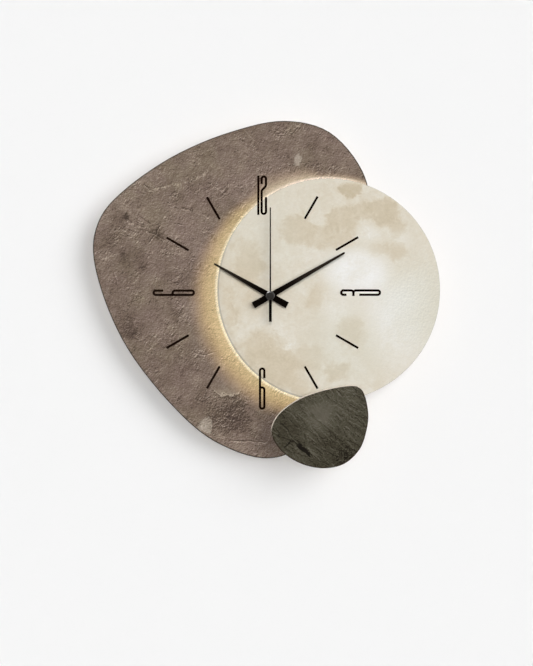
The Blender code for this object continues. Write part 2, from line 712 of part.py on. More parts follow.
class Plan:
    """Places on the face plane that several pieces share."""

    def __init__(self):
        self.axis = (0.0, 0.0)
        self.moon = (MOON_RIGHT_OF_AXIS, MOON_ABOVE_AXIS)
        self.moon_radius = 0.5 * MOON_DIAMETER
        self.carrier_radius = self.moon_radius - CARRIER_BEHIND_MOON_RIM
        self.board = sized_outline(BACK_BOARD_OUTLINE, -BACK_BOARD_LEFT_OF_AXIS, -BACK_BOARD_BELOW_AXIS,
                                   BACK_BOARD_WIDTH, BACK_BOARD_HEIGHT)
        self.carrier = inset_outline(self.board, CARRIER_BEHIND_BOARD_EDGE)
        self.pebble = (self.moon[0] - PEBBLE_LEFT_OF_MOON_CENTRE,
                       self.moon[1] - self.moon_radius + PEBBLE_LAP_OVER_MOON - 0.5 * PEBBLE_HEIGHT)
        self.grommet = polar(self.carrier_radius - GROMMET_BEHIND_RIM, GROMMET_BEARING, self.moon)
        self.light_case = self.on_board(*LIGHT_CASE_PLACE)
        self.third_distance = 0.5 * THIRD_MODULE * (SECONDS_PINION_TEETH + THIRD_WHEEL_TEETH)
        self.centre_module = 2.0 * self.third_distance / (THIRD_PINION_TEETH + CENTRE_WHEEL_TEETH)
        self.third = polar(self.third_distance, THIRD_BEARING)
        fifth_distance = 0.5 * SECONDS_MODULE * (FIFTH_PINION_TEETH + SECONDS_WHEEL_TEETH)
        self.fifth = polar(fifth_distance, FIFTH_BEARING)
        rotor_distance = 0.5 * ROTOR_MODULE * (ROTOR_PINION_TEETH + FIFTH_WHEEL_TEETH)
        self.rotor = polar(rotor_distance, ROTOR_BEARING, self.fifth)
        motion_distance = 0.5 * MOTION_MODULE * (CANNON_PINION_TEETH + MOTION_WHEEL_TEETH)
        self.motion = polar(motion_distance, MOTION_BEARING)
        self.hour_module = 2.0 * motion_distance / (MOTION_PINION_TEETH + HOUR_WHEEL_TEETH)
        knob_distance = 0.5 * MOTION_MODULE * (KNOB_PINION_TEETH + MOTION_WHEEL_TEETH)
        self.knob = polar(knob_distance, KNOB_BEARING, self.motion)
        self.centre_tip = tip_radius(CENTRE_WHEEL_TEETH, self.centre_module)
        self.chamber_bottom = -(self.centre_tip + CASE_ROOM)
        self.cell_y = self.chamber_bottom - CASE_WALL - CELL_CLEARANCE - CELL_RADIUS
        self.case_bottom = self.cell_y - CELL_RADIUS - CELL_CLEARANCE - CASE_WALL
        self.bridge_top = self.third[1] + BRIDGE_ABOVE_THIRD
        self.coil = (-COIL_LEFT_OF_AXIS, self.bridge_top + CASE_ROOM + COIL_FLANGE_RADIUS)
        self.chamber_top = self.coil[1] + COIL_FLANGE_RADIUS + CASE_ROOM
        self.case_top = self.chamber_top + CASE_WALL
        self.cell_room = 0.5 * (CELL_LENGTH + CELL_NUB_LENGTH) + CONTACT_THICKNESS + 2.0 * CONTACT_GAP
        coil_half = 0.5 * COIL_LENGTH + COIL_FLANGE_THICKNESS
        stator_reach = COIL_LEFT_OF_AXIS + coil_half + STATOR_GAP + STATOR_LIMB
        self.chamber_room = max(self.cell_room, stator_reach + CASE_ROOM)
        self.case_half = self.chamber_room + CASE_WALL

    def on_board(self, u, v):
        """Point at a share of the back board's width and height."""
        return (u * BACK_BOARD_WIDTH - BACK_BOARD_LEFT_OF_AXIS,
                v * BACK_BOARD_HEIGHT - BACK_BOARD_BELOW_AXIS)

    def moon_bottom_at(self, x):
        """Height of the moon's lower rim at a distance right of the axis."""
        return self.moon[1] - math.sqrt(self.moon_radius**2 - (x - self.moon[0])**2)

    def tape_bearings(self):
        """First and last bearing of the moon's rim that the carrier reaches, less a margin."""
        ends = []
        for side in (-1.0, 1.0):
            bearing = 180.0
            while inside_outline(polar(self.carrier_radius, bearing + side, self.moon), self.carrier):
                bearing += side
            ends.append(bearing - side * TAPE_END_MARGIN)
        return ends

    def carrier_screws(self):
        """Places of the screws that hold the carrier to the back board."""
        radius = self.carrier_radius - CARRIER_SCREW_BEHIND_RIM
        places = {side: polar(radius, bearing, self.moon) for side, bearing in CARRIER_RIM_SCREWS.items()}
        return places | {"right": self.on_board(*CARRIER_FIELD_SCREW)}

    def case_posts(self):
        """Places of the posts that take the cover's screws."""
        reach = self.chamber_room - CASE_POST_RADIUS + FUSE_LAP
        low = self.chamber_bottom + CASE_POST_RADIUS - FUSE_LAP
        high = self.chamber_top - CASE_POST_RADIUS + FUSE_LAP
        return {"left": (-reach, low), "right": (reach, high)}

    def bridge_box(self):
        """Left, bottom, right and top of the train bridge."""
        left = self.rotor[0] - BRIDGE_EDGE - BRIDGE_POST_RADIUS
        right = self.knob[0] + BRIDGE_EDGE
        return left, self.chamber_bottom + SEAT_GAP, right, self.bridge_top

    def hanger_screws(self):
        """Places of the hanger's two screws."""
        reach = 0.5 * HANGER_LENGTH - HANGER_SCREW_INSET
        return {"left": (-reach, self.hanger_middle()), "right": (reach, self.hanger_middle())}

    def hanger_middle(self):
        """Height of the hanger's middle above the hands' axis."""
        return NAIL_ABOVE_AXIS + HANGER_TOP_BAND - 0.5 * HANGER_HEIGHT


# Boards

def make_back_board(stack, plan):
    """Printed fibreboard with holes for the movement, the screws and the lead."""
    board = prism([plan.board], stack.board_back, stack.board_front)
    low, high = stack.board_back, stack.board_front
    drill(board, BUSH_RADIUS + SCREW_CLEARANCE, low, high, plan.axis, ROUND_STEPS)
    drill(board, GROMMET_RADIUS + SCREW_CLEARANCE, low, high, plan.grommet, FINE_STEPS)
    for place in plan.carrier_screws().values():
        drill(board, WOOD_SCREW_RADIUS + SCREW_CLEARANCE, low, high, place)
    for place in plan.hanger_screws().values():
        end = low + HANGER_SCREW_LENGTH - HANGER_SHEET
        drill_from_back(board, WOOD_SCREW_RADIUS + SCREW_CLEARANCE, low, end, place)
    return sub_part("back_board", board, "stone_print")


def make_carrier(stack, plan):
    """Foam board under the moon, its left edge on the moon's circle and its right inside the board."""
    low, high = stack.carrier_back, stack.carrier_front
    carrier = prism([plan.carrier], low, high)
    disc = cylinder(plan.carrier_radius, low - CUT_OVERRUN, high + CUT_OVERRUN, plan.moon, DISC_STEPS)
    combine(carrier, disc, "INTERSECT")
    drill(carrier, CARRIER_NUT_ROOM_RADIUS, low, high, plan.axis, ROUND_STEPS)
    inner = plan.carrier_radius - GROMMET_BEHIND_RIM - 0.5 * NOTCH_WIDTH
    notch = box((inner, -0.5 * NOTCH_WIDTH, low - CUT_OVERRUN),
                (plan.carrier_radius + CUT_OVERRUN, 0.5 * NOTCH_WIDTH, high + CUT_OVERRUN))
    turn = Matrix.Rotation(math.radians(GROMMET_BEARING), 4, "Z")
    moved(notch, Matrix.Translation((plan.moon[0], plan.moon[1], 0.0)) @ turn)
    cut(carrier, notch)
    reach = stack.board_back + CARRIER_SCREW_LENGTH + SEAT_GAP
    for place in plan.carrier_screws().values():
        drill_from_back(carrier, WOOD_SCREW_RADIUS + SCREW_CLEARANCE, low, reach, place)
    return sub_part("light_carrier", carrier, "white_foam")


def make_moon(stack, plan):
    """Printed moon disc with a hole for the bush."""
    moon = cylinder(plan.moon_radius, stack.moon_back, stack.moon_front, plan.moon, DISC_STEPS)
    drill(moon, BUSH_RADIUS + SCREW_CLEARANCE, stack.moon_back, stack.moon_front, plan.axis, ROUND_STEPS)
    return sub_part("moon_disc", moon, "moon_print")


def make_pebble(stack, plan):
    """Slate pebble, the spacer on the moon's rim and the standoff on the back board."""
    left, bottom = plan.pebble[0] - 0.5 * PEBBLE_WIDTH, plan.pebble[1] - 0.5 * PEBBLE_HEIGHT
    outline = sized_outline(PEBBLE_OUTLINE, left, bottom, PEBBLE_WIDTH, PEBBLE_HEIGHT)
    sub_part("slate_pebble", prism([outline], stack.pebble_back, stack.pebble_front), "slate_print")
    low = stack.moon_front + SEAT_GAP
    right = plan.pebble[0] + PEBBLE_SPACER_RIGHT_OF_PEBBLE + 0.5 * PEBBLE_SPACER_WIDTH
    foot = plan.moon_bottom_at(right) + PEBBLE_SPACER_ABOVE_RIM
    spacer = rounded_box_outline(right - PEBBLE_SPACER_WIDTH, foot, right, foot + PEBBLE_SPACER_HEIGHT,
                                 SPACER_CORNER)
    sub_part("pebble_spacer", prism([spacer], low, low + PEBBLE_SPACER_THICKNESS), "white_foam")
    middle_x = plan.pebble[0] - STANDOFF_LEFT_OF_PEBBLE
    top = plan.moon_bottom_at(middle_x) - STANDOFF_BELOW_MOON_RIM
    block = rounded_box_outline(middle_x - 0.5 * STANDOFF_SIDE, top - STANDOFF_SIDE,
                                middle_x + 0.5 * STANDOFF_SIDE, top, SPACER_CORNER)
    sub_part("pebble_standoff",
             prism([block], stack.board_front + SEAT_GAP, stack.pebble_back - SEAT_GAP), "white_foam")


# Lights

def make_tape(stack, plan):
    """Light tape along the carrier's round edge, with its chips soldered on."""
    start, end = sorted(plan.tape_bearings())
    inner = plan.carrier_radius + SEAT_GAP
    outer = inner + TAPE_THICKNESS
    steps = int((end - start) / 3.0)
    band = arc(plan.moon, inner, start, end, steps) + arc(plan.moon, outer, end, start, steps)
    middle = 0.5 * (stack.carrier_back + stack.carrier_front)
    tape = prism([band], middle - 0.5 * TAPE_WIDTH, middle + 0.5 * TAPE_WIDTH)
    count = int(math.radians(end - start) * outer / CHIP_PITCH)
    pitch = (end - start) / count
    for i in range(count):
        chip = box((outer - 0.5 * TAPE_THICKNESS, -0.5 * CHIP_LENGTH, middle - 0.5 * CHIP_WIDTH),
                   (outer + CHIP_HEIGHT, 0.5 * CHIP_LENGTH, middle + 0.5 * CHIP_WIDTH))
        turn = Matrix.Rotation(math.radians(start + (i + 0.5) * pitch), 4, "Z")
        fuse(tape, moved(chip, Matrix.Translation((plan.moon[0], plan.moon[1], 0.0)) @ turn))
    sub_part("light_tape", tape, "tape_white")


class LightCase:
    """Places inside the light control case."""

    def __init__(self, stack, plan):
        x, y = plan.light_case
        self.left, self.right = x - 0.5 * LIGHT_CASE_WIDTH, x + 0.5 * LIGHT_CASE_WIDTH
        self.bottom, self.top = y - 0.5 * LIGHT_CASE_HEIGHT, y + 0.5 * LIGHT_CASE_HEIGHT
        self.middle_y = y
        self.front = stack.board_back - SEAT_GAP
        self.back = self.front - LIGHT_CASE_DEPTH
        self.floor = self.front - LIGHT_CASE_WALL
        self.inner_left = self.left + LIGHT_CASE_WALL
        self.board_left = self.inner_left + LIGHT_BOARD_FROM_WALL
        self.board_right = self.board_left + LIGHT_BOARD_LENGTH
        self.board_front = self.floor - LIGHT_BOARD_PEG - SEAT_GAP
        self.board_back = self.board_front - LIGHT_BOARD_THICKNESS
        self.inlet_y = y + INLET_ABOVE_CENTRE
        self.inlet_z = self.board_back - SEAT_GAP - 0.5 * INLET_HEIGHT
        self.button_y = y - BUTTON_BELOW_CENTRE
        self.button_z = self.board_back - SEAT_GAP - 0.4 * SWITCH_SIDE
        self.flange_far = self.inner_left + SEAT_GAP + BUTTON_FLANGE_THICKNESS
        self.stem_tip = self.flange_far + BUTTON_TRAVEL + 0.5 * BUTTON_CLEARANCE
        self.cell_left = self.board_right + LITHIUM_FROM_BOARD
        self.lead_z = self.floor - LITHIUM_THICKNESS - SEAT_GAP - LEAD_HOLE_RADIUS
        inset = LIGHT_CASE_WALL + LIGHT_CASE_POST_RADIUS - FUSE_LAP
        self.posts = {"left": (self.left + inset, self.bottom + inset),
                      "right": (self.right - inset, self.top - inset)}
        columns = (self.board_left + LIGHT_PEG_LEFT_INSET, self.board_right - LIGHT_PEG_RIGHT_INSET)
        rows = (y - 0.5 * LIGHT_PEG_ROWS_APART, y + 0.5 * LIGHT_PEG_ROWS_APART)
        self.pegs = [(column, row) for column in columns for row in rows]


def make_light_case(spots):
    """Tray, lid and screws of the light control case."""
    tray = prism([rounded_box_outline(spots.left, spots.bottom, spots.right, spots.top, LIGHT_CASE_CORNER)],
                 spots.back, spots.front)
    wall = LIGHT_CASE_WALL
    cut(tray, box((spots.left + wall, spots.bottom + wall, spots.back - CUT_OVERRUN),
                  (spots.right - wall, spots.top - wall, spots.floor)))
    for place in spots.posts.values():
        fuse(tray, cylinder(LIGHT_CASE_POST_RADIUS, spots.back, spots.floor + FUSE_LAP, place))
    for place in spots.pegs:
        fuse(tray, cylinder(LIGHT_BOARD_PEG_RADIUS, spots.floor - LIGHT_BOARD_PEG, spots.floor + FUSE_LAP,
                            place, PIVOT_STEPS))
    for place in spots.posts.values():
        drill_from_back(tray, COVER_SCREW_RADIUS + SCREW_CLEARANCE, spots.back,
                        spots.back + LIGHT_CASE_SCREW_LENGTH, place)
    half_width, half_height = 0.5 * INLET_WIDTH + SEAT_GAP, 0.5 * INLET_HEIGHT + SEAT_GAP
    cut(tray, box((spots.left - CUT_OVERRUN, spots.inlet_y - half_width, spots.inlet_z - half_height),
                  (spots.inner_left + FUSE_LAP, spots.inlet_y + half_width, spots.inlet_z + half_height)))
    reach = 0.5 * wall + CUT_OVERRUN
    guide = cylinder(BUTTON_RADIUS + BUTTON_CLEARANCE, -reach, reach)
    cut(tray, along_x(guide, (spots.left + 0.5 * wall, spots.button_y, spots.button_z)))
    gland = cylinder(LEAD_HOLE_RADIUS, -reach, reach, steps=PIVOT_STEPS)
    cut(tray, along_x(gland, (spots.right - 0.5 * wall, spots.middle_y, spots.lead_z)))
    sub_part("light_case", tray, "black_plastic")
    lid_back = spots.back - SEAT_GAP - LIGHT_CASE_LID
    lid = prism([rounded_box_outline(spots.left, spots.bottom, spots.right, spots.top, LIGHT_CASE_CORNER)],
                lid_back, spots.back - SEAT_GAP)
    for side, place in spots.posts.items():
        drill(lid, COVER_SCREW_RADIUS + SCREW_CLEARANCE, lid_back, spots.back, place)
        head = lid_back - SEAT_GAP - COVER_SCREW_HEAD_HEIGHT
        screw = screw_solid(COVER_SCREW_HEAD_RADIUS, COVER_SCREW_HEAD_HEIGHT, COVER_SCREW_RADIUS,
                            LIGHT_CASE_SCREW_LENGTH, place, head)
        sub_part("light_case_screw_" + side, screw, "steel")
    sub_part("light_case_lid", lid, "black_plastic")


def make_light_electronics(spots):
    """Circuit board, switch, charging inlet, lamp and lithium cell."""
    half = 0.5 * LIGHT_BOARD_HEIGHT
    board = box((spots.board_left, spots.middle_y - half, spots.board_back),
                (spots.board_right, spots.middle_y + half, spots.board_front))
    sub_part("light_circuit", board, "circuit_green")
    back = spots.board_back - SEAT_GAP
    body_left = spots.board_left + SEAT_GAP
    switch = box((body_left, spots.button_y - 0.5 * SWITCH_SIDE, back - 0.9 * SWITCH_SIDE),
                 (body_left + SWITCH_LENGTH, spots.button_y + 0.5 * SWITCH_SIDE, back))
    stem_length = body_left + FUSE_LAP - spots.stem_tip
    stem = cylinder(SWITCH_STEM_RADIUS, -0.5 * stem_length, 0.5 * stem_length, steps=PIVOT_STEPS)
    along_x(stem, (spots.stem_tip + 0.5 * stem_length, spots.button_y, spots.button_z))
    sub_part("push_switch", fuse(switch, stem), "grey_plastic")
    make_inlet(spots)
    lamp = fuse(box((body_left, spots.middle_y - LAMP_RADIUS, back - 2.0 * LAMP_RADIUS),
                    (body_left + LAMP_LENGTH, spots.middle_y + LAMP_RADIUS, back)))
    sub_part("charge_lamp", lamp, "lamp_lens")
    half = 0.5 * LITHIUM_HEIGHT
    cell_front = spots.floor - SEAT_GAP
    cell = box((spots.cell_left, spots.middle_y - half, cell_front - LITHIUM_THICKNESS),
               (spots.cell_left + LITHIUM_LENGTH, spots.middle_y + half, cell_front))
    sub_part("lithium_cell", cell, "pouch_foil")


def make_inlet(spots):
    """Charging inlet: a thin metal mouth round a tongue."""
    near = spots.left + SEAT_GAP
    half_width, half_height = 0.5 * INLET_WIDTH, 0.5 * INLET_HEIGHT
    y, z = spots.inlet_y, spots.inlet_z
    shell = box((near, y - half_width, z - half_height),
                (near + INLET_LENGTH, y + half_width, z + half_height))
    inner_width, inner_height = half_width - INLET_WALL, half_height - INLET_WALL
    cut(shell, box((near - CUT_OVERRUN, y - inner_width, z - inner_height),
                   (near + INLET_MOUTH_DEPTH, y + inner_width, z + inner_height)))
    tongue = box((near + INLET_TONGUE_INSET, y - 0.5 * INLET_TONGUE_WIDTH, z - 0.5 * INLET_TONGUE_HEIGHT),
                 (near + INLET_MOUTH_DEPTH + FUSE_LAP, y + 0.5 * INLET_TONGUE_WIDTH,
                  z + 0.5 * INLET_TONGUE_HEIGHT))
    sub_part("charging_inlet", fuse(shell, tongue), "steel")


def make_button(spots):
    """Push button of the lights, its flange inside the wall and its face outside."""
    face = spots.left - BUTTON_PROUD
    flange_near = spots.inner_left + SEAT_GAP
    length = spots.flange_far - face
    stem = cylinder(BUTTON_RADIUS, -0.5 * length, 0.5 * length)
    along_x(stem, (face + 0.5 * length, spots.button_y, spots.button_z))
    half = 0.5 * BUTTON_FLANGE_THICKNESS
    flange = along_x(cylinder(BUTTON_FLANGE_RADIUS, -half, half),
                     (flange_near + half, spots.button_y, spots.button_z))
    sub_part("light_button", fuse(flange, stem), "grey_plastic",
             (face, spots.button_y, spots.button_z))


def make_lead(stack, plan, spots):
    """Two-core lead from the circuit, out of the case, through the grommet and up to the tape."""
    gx, gy = plan.grommet
    middle = 0.5 * (stack.carrier_back + stack.carrier_front)
    out_x, out_y = polar(plan.carrier_radius - LEAD_FROM_RIM - LEAD_RADIUS, GROMMET_BEARING, plan.moon)
    y, z = spots.middle_y, spots.lead_z
    turn_x = 0.5 * (spots.right + gx)
    knots = [Vector(knot) for knot in (
        (spots.board_right - LEAD_SOLDER_INSET, y, spots.board_back - LEAD_RADIUS - SEAT_GAP),
        (spots.board_right + LEAD_PAST_BOARD, y, z),
        (spots.cell_left + 0.5 * LITHIUM_LENGTH, y, z), (spots.right - LEAD_STRAIGHT, y, z),
        (spots.right + LEAD_STRAIGHT, y, z), (turn_x, 0.7 * y + 0.3 * gy, z + LEAD_SAG),
        (gx - LEAD_BEND_ASIDE, 0.1 * y + 0.9 * gy, z + LEAD_BEND_RISE),
        (gx, gy, stack.board_back - LEAD_BEND_ASIDE),
        (gx, gy, stack.board_front + LEAD_PAST_HOLE),
        (0.9 * gx + 0.1 * out_x, 0.9 * gy + 0.1 * out_y, middle - LEAD_DIP),
        (0.45 * gx + 0.55 * out_x, 0.45 * gy + 0.55 * out_y, middle), (out_x, out_y, middle))]
    lead = bpy.data.curves.new("lead", "CURVE")
    lead.dimensions = "3D"
    lead.bevel_depth = LEAD_RADIUS
    lead.bevel_resolution = 2
    lead.use_fill_caps = True
    route = smooth_route(knots)
    spline = lead.splines.new("POLY")
    spline.points.add(len(route) - 1)
    for point, place in zip(spline.points, route):
        point.co = (*place, 1.0)
    wire = bpy.data.objects.new("lead", lead)
    CLOCK.objects.link(wire)
    bpy.context.view_layer.update()
    sub_part("light_lead", replace_by_mesh(wire), "lead_jacket")
    rim, lip = GROMMET_RADIUS, GROMMET_LIP_RADIUS
    back, front = stack.board_back - SEAT_GAP, stack.board_front + SEAT_GAP
    bore = LEAD_RADIUS + SCREW_CLEARANCE
    profile = [(bore, front + GROMMET_LIP_THICKNESS), (lip, front + GROMMET_LIP_THICKNESS), (lip, front),
               (rim, front), (rim, back), (lip, back), (lip, back - GROMMET_LIP_THICKNESS),
               (bore, back - GROMMET_LIP_THICKNESS)]
    grommet = moved(turned(profile, FINE_STEPS), Matrix.Translation((gx, gy, 0.0)))
    sub_part("lead_grommet", grommet, "rubber")


def smooth_route(knots):
    """Points at even stations along a smooth open curve through the knots."""
    ends = [2.0 * knots[0] - knots[1]] + knots + [2.0 * knots[-1] - knots[-2]]
    route = [knots[0]]
    for before, here, there, after in zip(ends, ends[1:], ends[2:], ends[3:]):
        steps = max(2, round((there - here).length / LEAD_STATION))
        for step in range(1, steps + 1):
            t = step / steps
            point = 2.0 * here + (there - before) * t
            point += (2.0 * before - 5.0 * here + 4.0 * there - after) * t**2
            point += (3.0 * here - before - 3.0 * there + after) * t**3
            route.append(0.5 * point)
    return route


# Movement

def toothed(teeth, module, centre, partner, layer, gap_first):
    """Toothed wheel in one layer, in mesh with a partner at rest."""
    outline = gear_outline(teeth, module, centre, bearing_of(centre, partner), gap_first)
    return prism([outline], *layer)


def make_train(stack, plan):
    """Rotor, fifth wheel, seconds wheel and third wheel on their arbors."""
    layer = stack.layer
    rear = stack.cover_inner - PIVOT_DEPTH
    bridge_pivot = layer["bridge"][0] + PIVOT_DEPTH
    rotor = toothed(ROTOR_PINION_TEETH, ROTOR_MODULE, plan.rotor, plan.fifth, layer["fifth"], False)
    magnet_low = layer["fifth"][1] + LAYER_GAP
    magnet = cylinder(MAGNET_RADIUS, magnet_low, layer["bridge"][0] - LAYER_GAP, plan.rotor)
    arbor = cylinder(PIVOT_RADIUS, rear, bridge_pivot, plan.rotor, PIVOT_STEPS)
    sub_part("rotor", fuse(magnet, rotor, arbor), "magnet", (*plan.rotor, magnet_low))

    fifth = toothed(FIFTH_WHEEL_TEETH, ROTOR_MODULE, plan.fifth, plan.rotor, layer["fifth"], True)
    pinion = toothed(FIFTH_PINION_TEETH, SECONDS_MODULE, plan.fifth, plan.axis,
                     (layer["fifth"][1] - THIN_LAP, layer["seconds"][1]), False)
    arbor = cylinder(PIVOT_RADIUS, rear, bridge_pivot, plan.fifth, PIVOT_STEPS)
    sub_part("fifth_wheel", fuse(fifth, pinion, arbor), "gear_plastic", (*plan.fifth, layer["fifth"][0]))

    seconds = toothed(SECONDS_WHEEL_TEETH, SECONDS_MODULE, plan.axis, plan.fifth, layer["seconds"], True)
    pinion = toothed(SECONDS_PINION_TEETH, THIRD_MODULE, plan.axis, plan.third,
                     (layer["seconds"][1] - THIN_LAP, layer["third"][1]), False)
    arbor = cylinder(SECOND_ARBOR_RADIUS, rear, stack.cap_back + 0.5 * CAP_THICKNESS, plan.axis, PIVOT_STEPS)
    sub_part("seconds_wheel", fuse(seconds, pinion, arbor), "gear_plastic",
             (*plan.axis, layer["seconds"][0]))

    third = toothed(THIRD_WHEEL_TEETH, THIRD_MODULE, plan.third, plan.axis, layer["third"], True)
    pinion = toothed(THIRD_PINION_TEETH, plan.centre_module, plan.third, plan.axis,
                     (layer["third"][1] - THIN_LAP, layer["centre"][1]), False)
    arbor = cylinder(PIVOT_RADIUS, rear, stack.ceiling + PIVOT_DEPTH, plan.third, PIVOT_STEPS)
    sub_part("third_wheel", fuse(third, pinion, arbor), "gear_plastic", (*plan.third, layer["third"][0]))


def make_motion_work(stack, plan):
    """Centre wheel with its cannon, motion wheel, hour wheel and setting knob."""
    layer = stack.layer
    centre = toothed(CENTRE_WHEEL_TEETH, plan.centre_module, plan.axis, plan.third, layer["centre"], True)
    cannon = toothed(CANNON_PINION_TEETH, MOTION_MODULE, plan.axis, plan.motion,
                     (layer["centre"][1] - THIN_LAP, layer["motion"][1]), False)
    tube = cylinder(MINUTE_TUBE_RADIUS, layer["motion"][1] - THIN_LAP, stack.minute_tube_front, plan.axis)
    wheel = fuse(centre, cannon, tube)
    drill(wheel, SECOND_ARBOR_RADIUS + TUBE_CLEARANCE, layer["centre"][0], stack.minute_tube_front)
    sub_part("centre_wheel", wheel, "gear_plastic", (*plan.axis, layer["centre"][0]))

    motion = toothed(MOTION_WHEEL_TEETH, MOTION_MODULE, plan.motion, plan.axis, layer["motion"], True)
    pinion = toothed(MOTION_PINION_TEETH, plan.hour_module, plan.motion, plan.axis,
                     (layer["motion"][1] - THIN_LAP, layer["hour"][1]), False)
    wheel = fuse(motion, pinion)
    drill(wheel, STUD_RADIUS + PIVOT_CLEARANCE, layer["motion"][0], layer["hour"][1], plan.motion)
    sub_part("motion_wheel", wheel, "gear_plastic", (*plan.motion, layer["motion"][0]))

    hour = toothed(HOUR_WHEEL_TEETH, plan.hour_module, plan.axis, plan.motion, layer["hour"], True)
    tube = cylinder(HOUR_TUBE_RADIUS, layer["hour"][1] - THIN_LAP, stack.hour_tube_front, plan.axis)
    wheel = fuse(hour, tube)
    drill(wheel, MINUTE_TUBE_RADIUS + TUBE_CLEARANCE, layer["hour"][0], stack.hour_tube_front,
          plan.axis, FINE_STEPS)
    sub_part("hour_wheel", wheel, "gear_plastic", (*plan.axis, layer["hour"][0]))
    make_knob(stack, plan)


def make_knob(stack, plan):
    """Setting knob behind the case, its shaft and its pinion on the motion wheel."""
    pitch = 360.0 / MOTION_WHEEL_TEETH
    to_knob = bearing_of(plan.motion, plan.knob)
    to_axis = bearing_of(plan.motion, plan.axis)
    first_gap = to_axis + pitch * round((to_knob - to_axis) / pitch)
    slip = (to_knob - first_gap) * MOTION_WHEEL_TEETH / KNOB_PINION_TEETH
    outline = gear_outline(KNOB_PINION_TEETH, MOTION_MODULE, plan.knob, to_knob + 180.0 + slip, False)
    pinion = prism([outline], *stack.layer["motion"])
    head_high = WALL_CLEARANCE + KNOB_HEAD_THICKNESS
    shaft = cylinder(KNOB_SHAFT_RADIUS, head_high - FUSE_LAP, stack.layer["motion"][0] + THIN_LAP, plan.knob)
    pivot = cylinder(PIVOT_RADIUS, stack.layer["motion"][0], stack.ceiling + PIVOT_DEPTH, plan.knob,
                     PIVOT_STEPS)
    grip = []
    for i in range(KNOB_GRIPS):
        bearing = 360.0 * i / KNOB_GRIPS
        step = 90.0 / KNOB_GRIPS
        grip += [polar(KNOB_HEAD_RADIUS, bearing - step, plan.knob),
                 polar(KNOB_HEAD_RADIUS, bearing + step, plan.knob),
                 polar(KNOB_HEAD_RADIUS - KNOB_GRIP_DEPTH, bearing + 2.0 * step, plan.knob)]
    head = prism([grip], WALL_CLEARANCE, head_high)
    sub_part("setting_knob", fuse(head, shaft, pinion, pivot), "grey_plastic",
             (*plan.knob, WALL_CLEARANCE))


def make_bridge(stack, plan):
    """Train bridge on four posts, with the pivots of the fifth wheel and the rotor."""
    low, high = stack.layer["bridge"]
    left, bottom, right, top = plan.bridge_box()
    plate = prism([rounded_box_outline(left, bottom, right, top, BRIDGE_POST_RADIUS)], low, high)
    for x in (left + BRIDGE_POST_RADIUS, right - BRIDGE_POST_RADIUS):
        for y in (bottom + BRIDGE_POST_RADIUS, top - BRIDGE_POST_RADIUS):
            fuse(plate, cylinder(BRIDGE_POST_RADIUS - SEAT_GAP, low + FUSE_LAP, stack.ceiling - SEAT_GAP,
                                 (x, y), PIVOT_STEPS))
    third_hole = tip_radius(THIRD_PINION_TEETH, plan.centre_module) + SEAT_GAP
    drill(plate, SECOND_ARBOR_RADIUS + TUBE_CLEARANCE, low, high, plan.axis)
    drill(plate, third_hole, low, high, plan.third, FINE_STEPS)
    drill(plate, KNOB_SHAFT_RADIUS + SEAT_GAP, low, high, plan.knob)
    for place in (plan.fifth, plan.rotor):
        end = low + PIVOT_DEPTH + PIVOT_CLEARANCE
        drill_from_back(plate, PIVOT_RADIUS + PIVOT_CLEARANCE, low, end, place)
    sub_part("train_bridge", plate, "black_plastic")


def make_case(stack, plan):
    """Movement case: chamber for the train, open bay for the dry cell, posts and the motion stud."""
    half = plan.case_half
    case = prism([rounded_box_outline(-half, plan.case_bottom, half, plan.case_top, CASE_CORNER)],
                 stack.case_back, stack.case_front)
    rooms = ((plan.chamber_room, plan.chamber_bottom, plan.chamber_top),
             (plan.cell_room, plan.case_bottom + CASE_WALL, plan.chamber_bottom - CASE_WALL))
    for room, bottom, top in rooms:
        cut(case, box((-room, bottom, stack.case_back - CUT_OVERRUN), (room, top, stack.ceiling)))
    for place in plan.case_posts().values():
        fuse(case, cylinder(CASE_POST_RADIUS, stack.cover_inner + SEAT_GAP, stack.ceiling + FUSE_LAP, place))
        end = stack.case_back + COVER_SCREW_LENGTH + SEAT_GAP
        drill_from_back(case, COVER_SCREW_RADIUS + SCREW_CLEARANCE, stack.cover_inner, end, place)
    stud_back = stack.layer["motion"][0]
    fuse(case, cylinder(STUD_RADIUS, stud_back, stack.ceiling + FUSE_LAP, plan.motion, PIVOT_STEPS))
    stator_front = stack.layer["seconds"][1] + SEAT_GAP
    for place in stator_posts(plan):
        fuse(case, cylinder(0.45 * STATOR_LIMB, stator_front, stack.ceiling + FUSE_LAP, place, PIVOT_STEPS))
    for place in (plan.third, plan.knob):
        drill_from_back(case, PIVOT_RADIUS + PIVOT_CLEARANCE, stack.ceiling,
                        stack.ceiling + PIVOT_DEPTH + PIVOT_CLEARANCE, place)
    drill(case, BUSH_RADIUS + PIVOT_CLEARANCE, stack.ceiling, stack.case_front, plan.axis, ROUND_STEPS)
    sub_part("movement_case", case, "black_plastic")


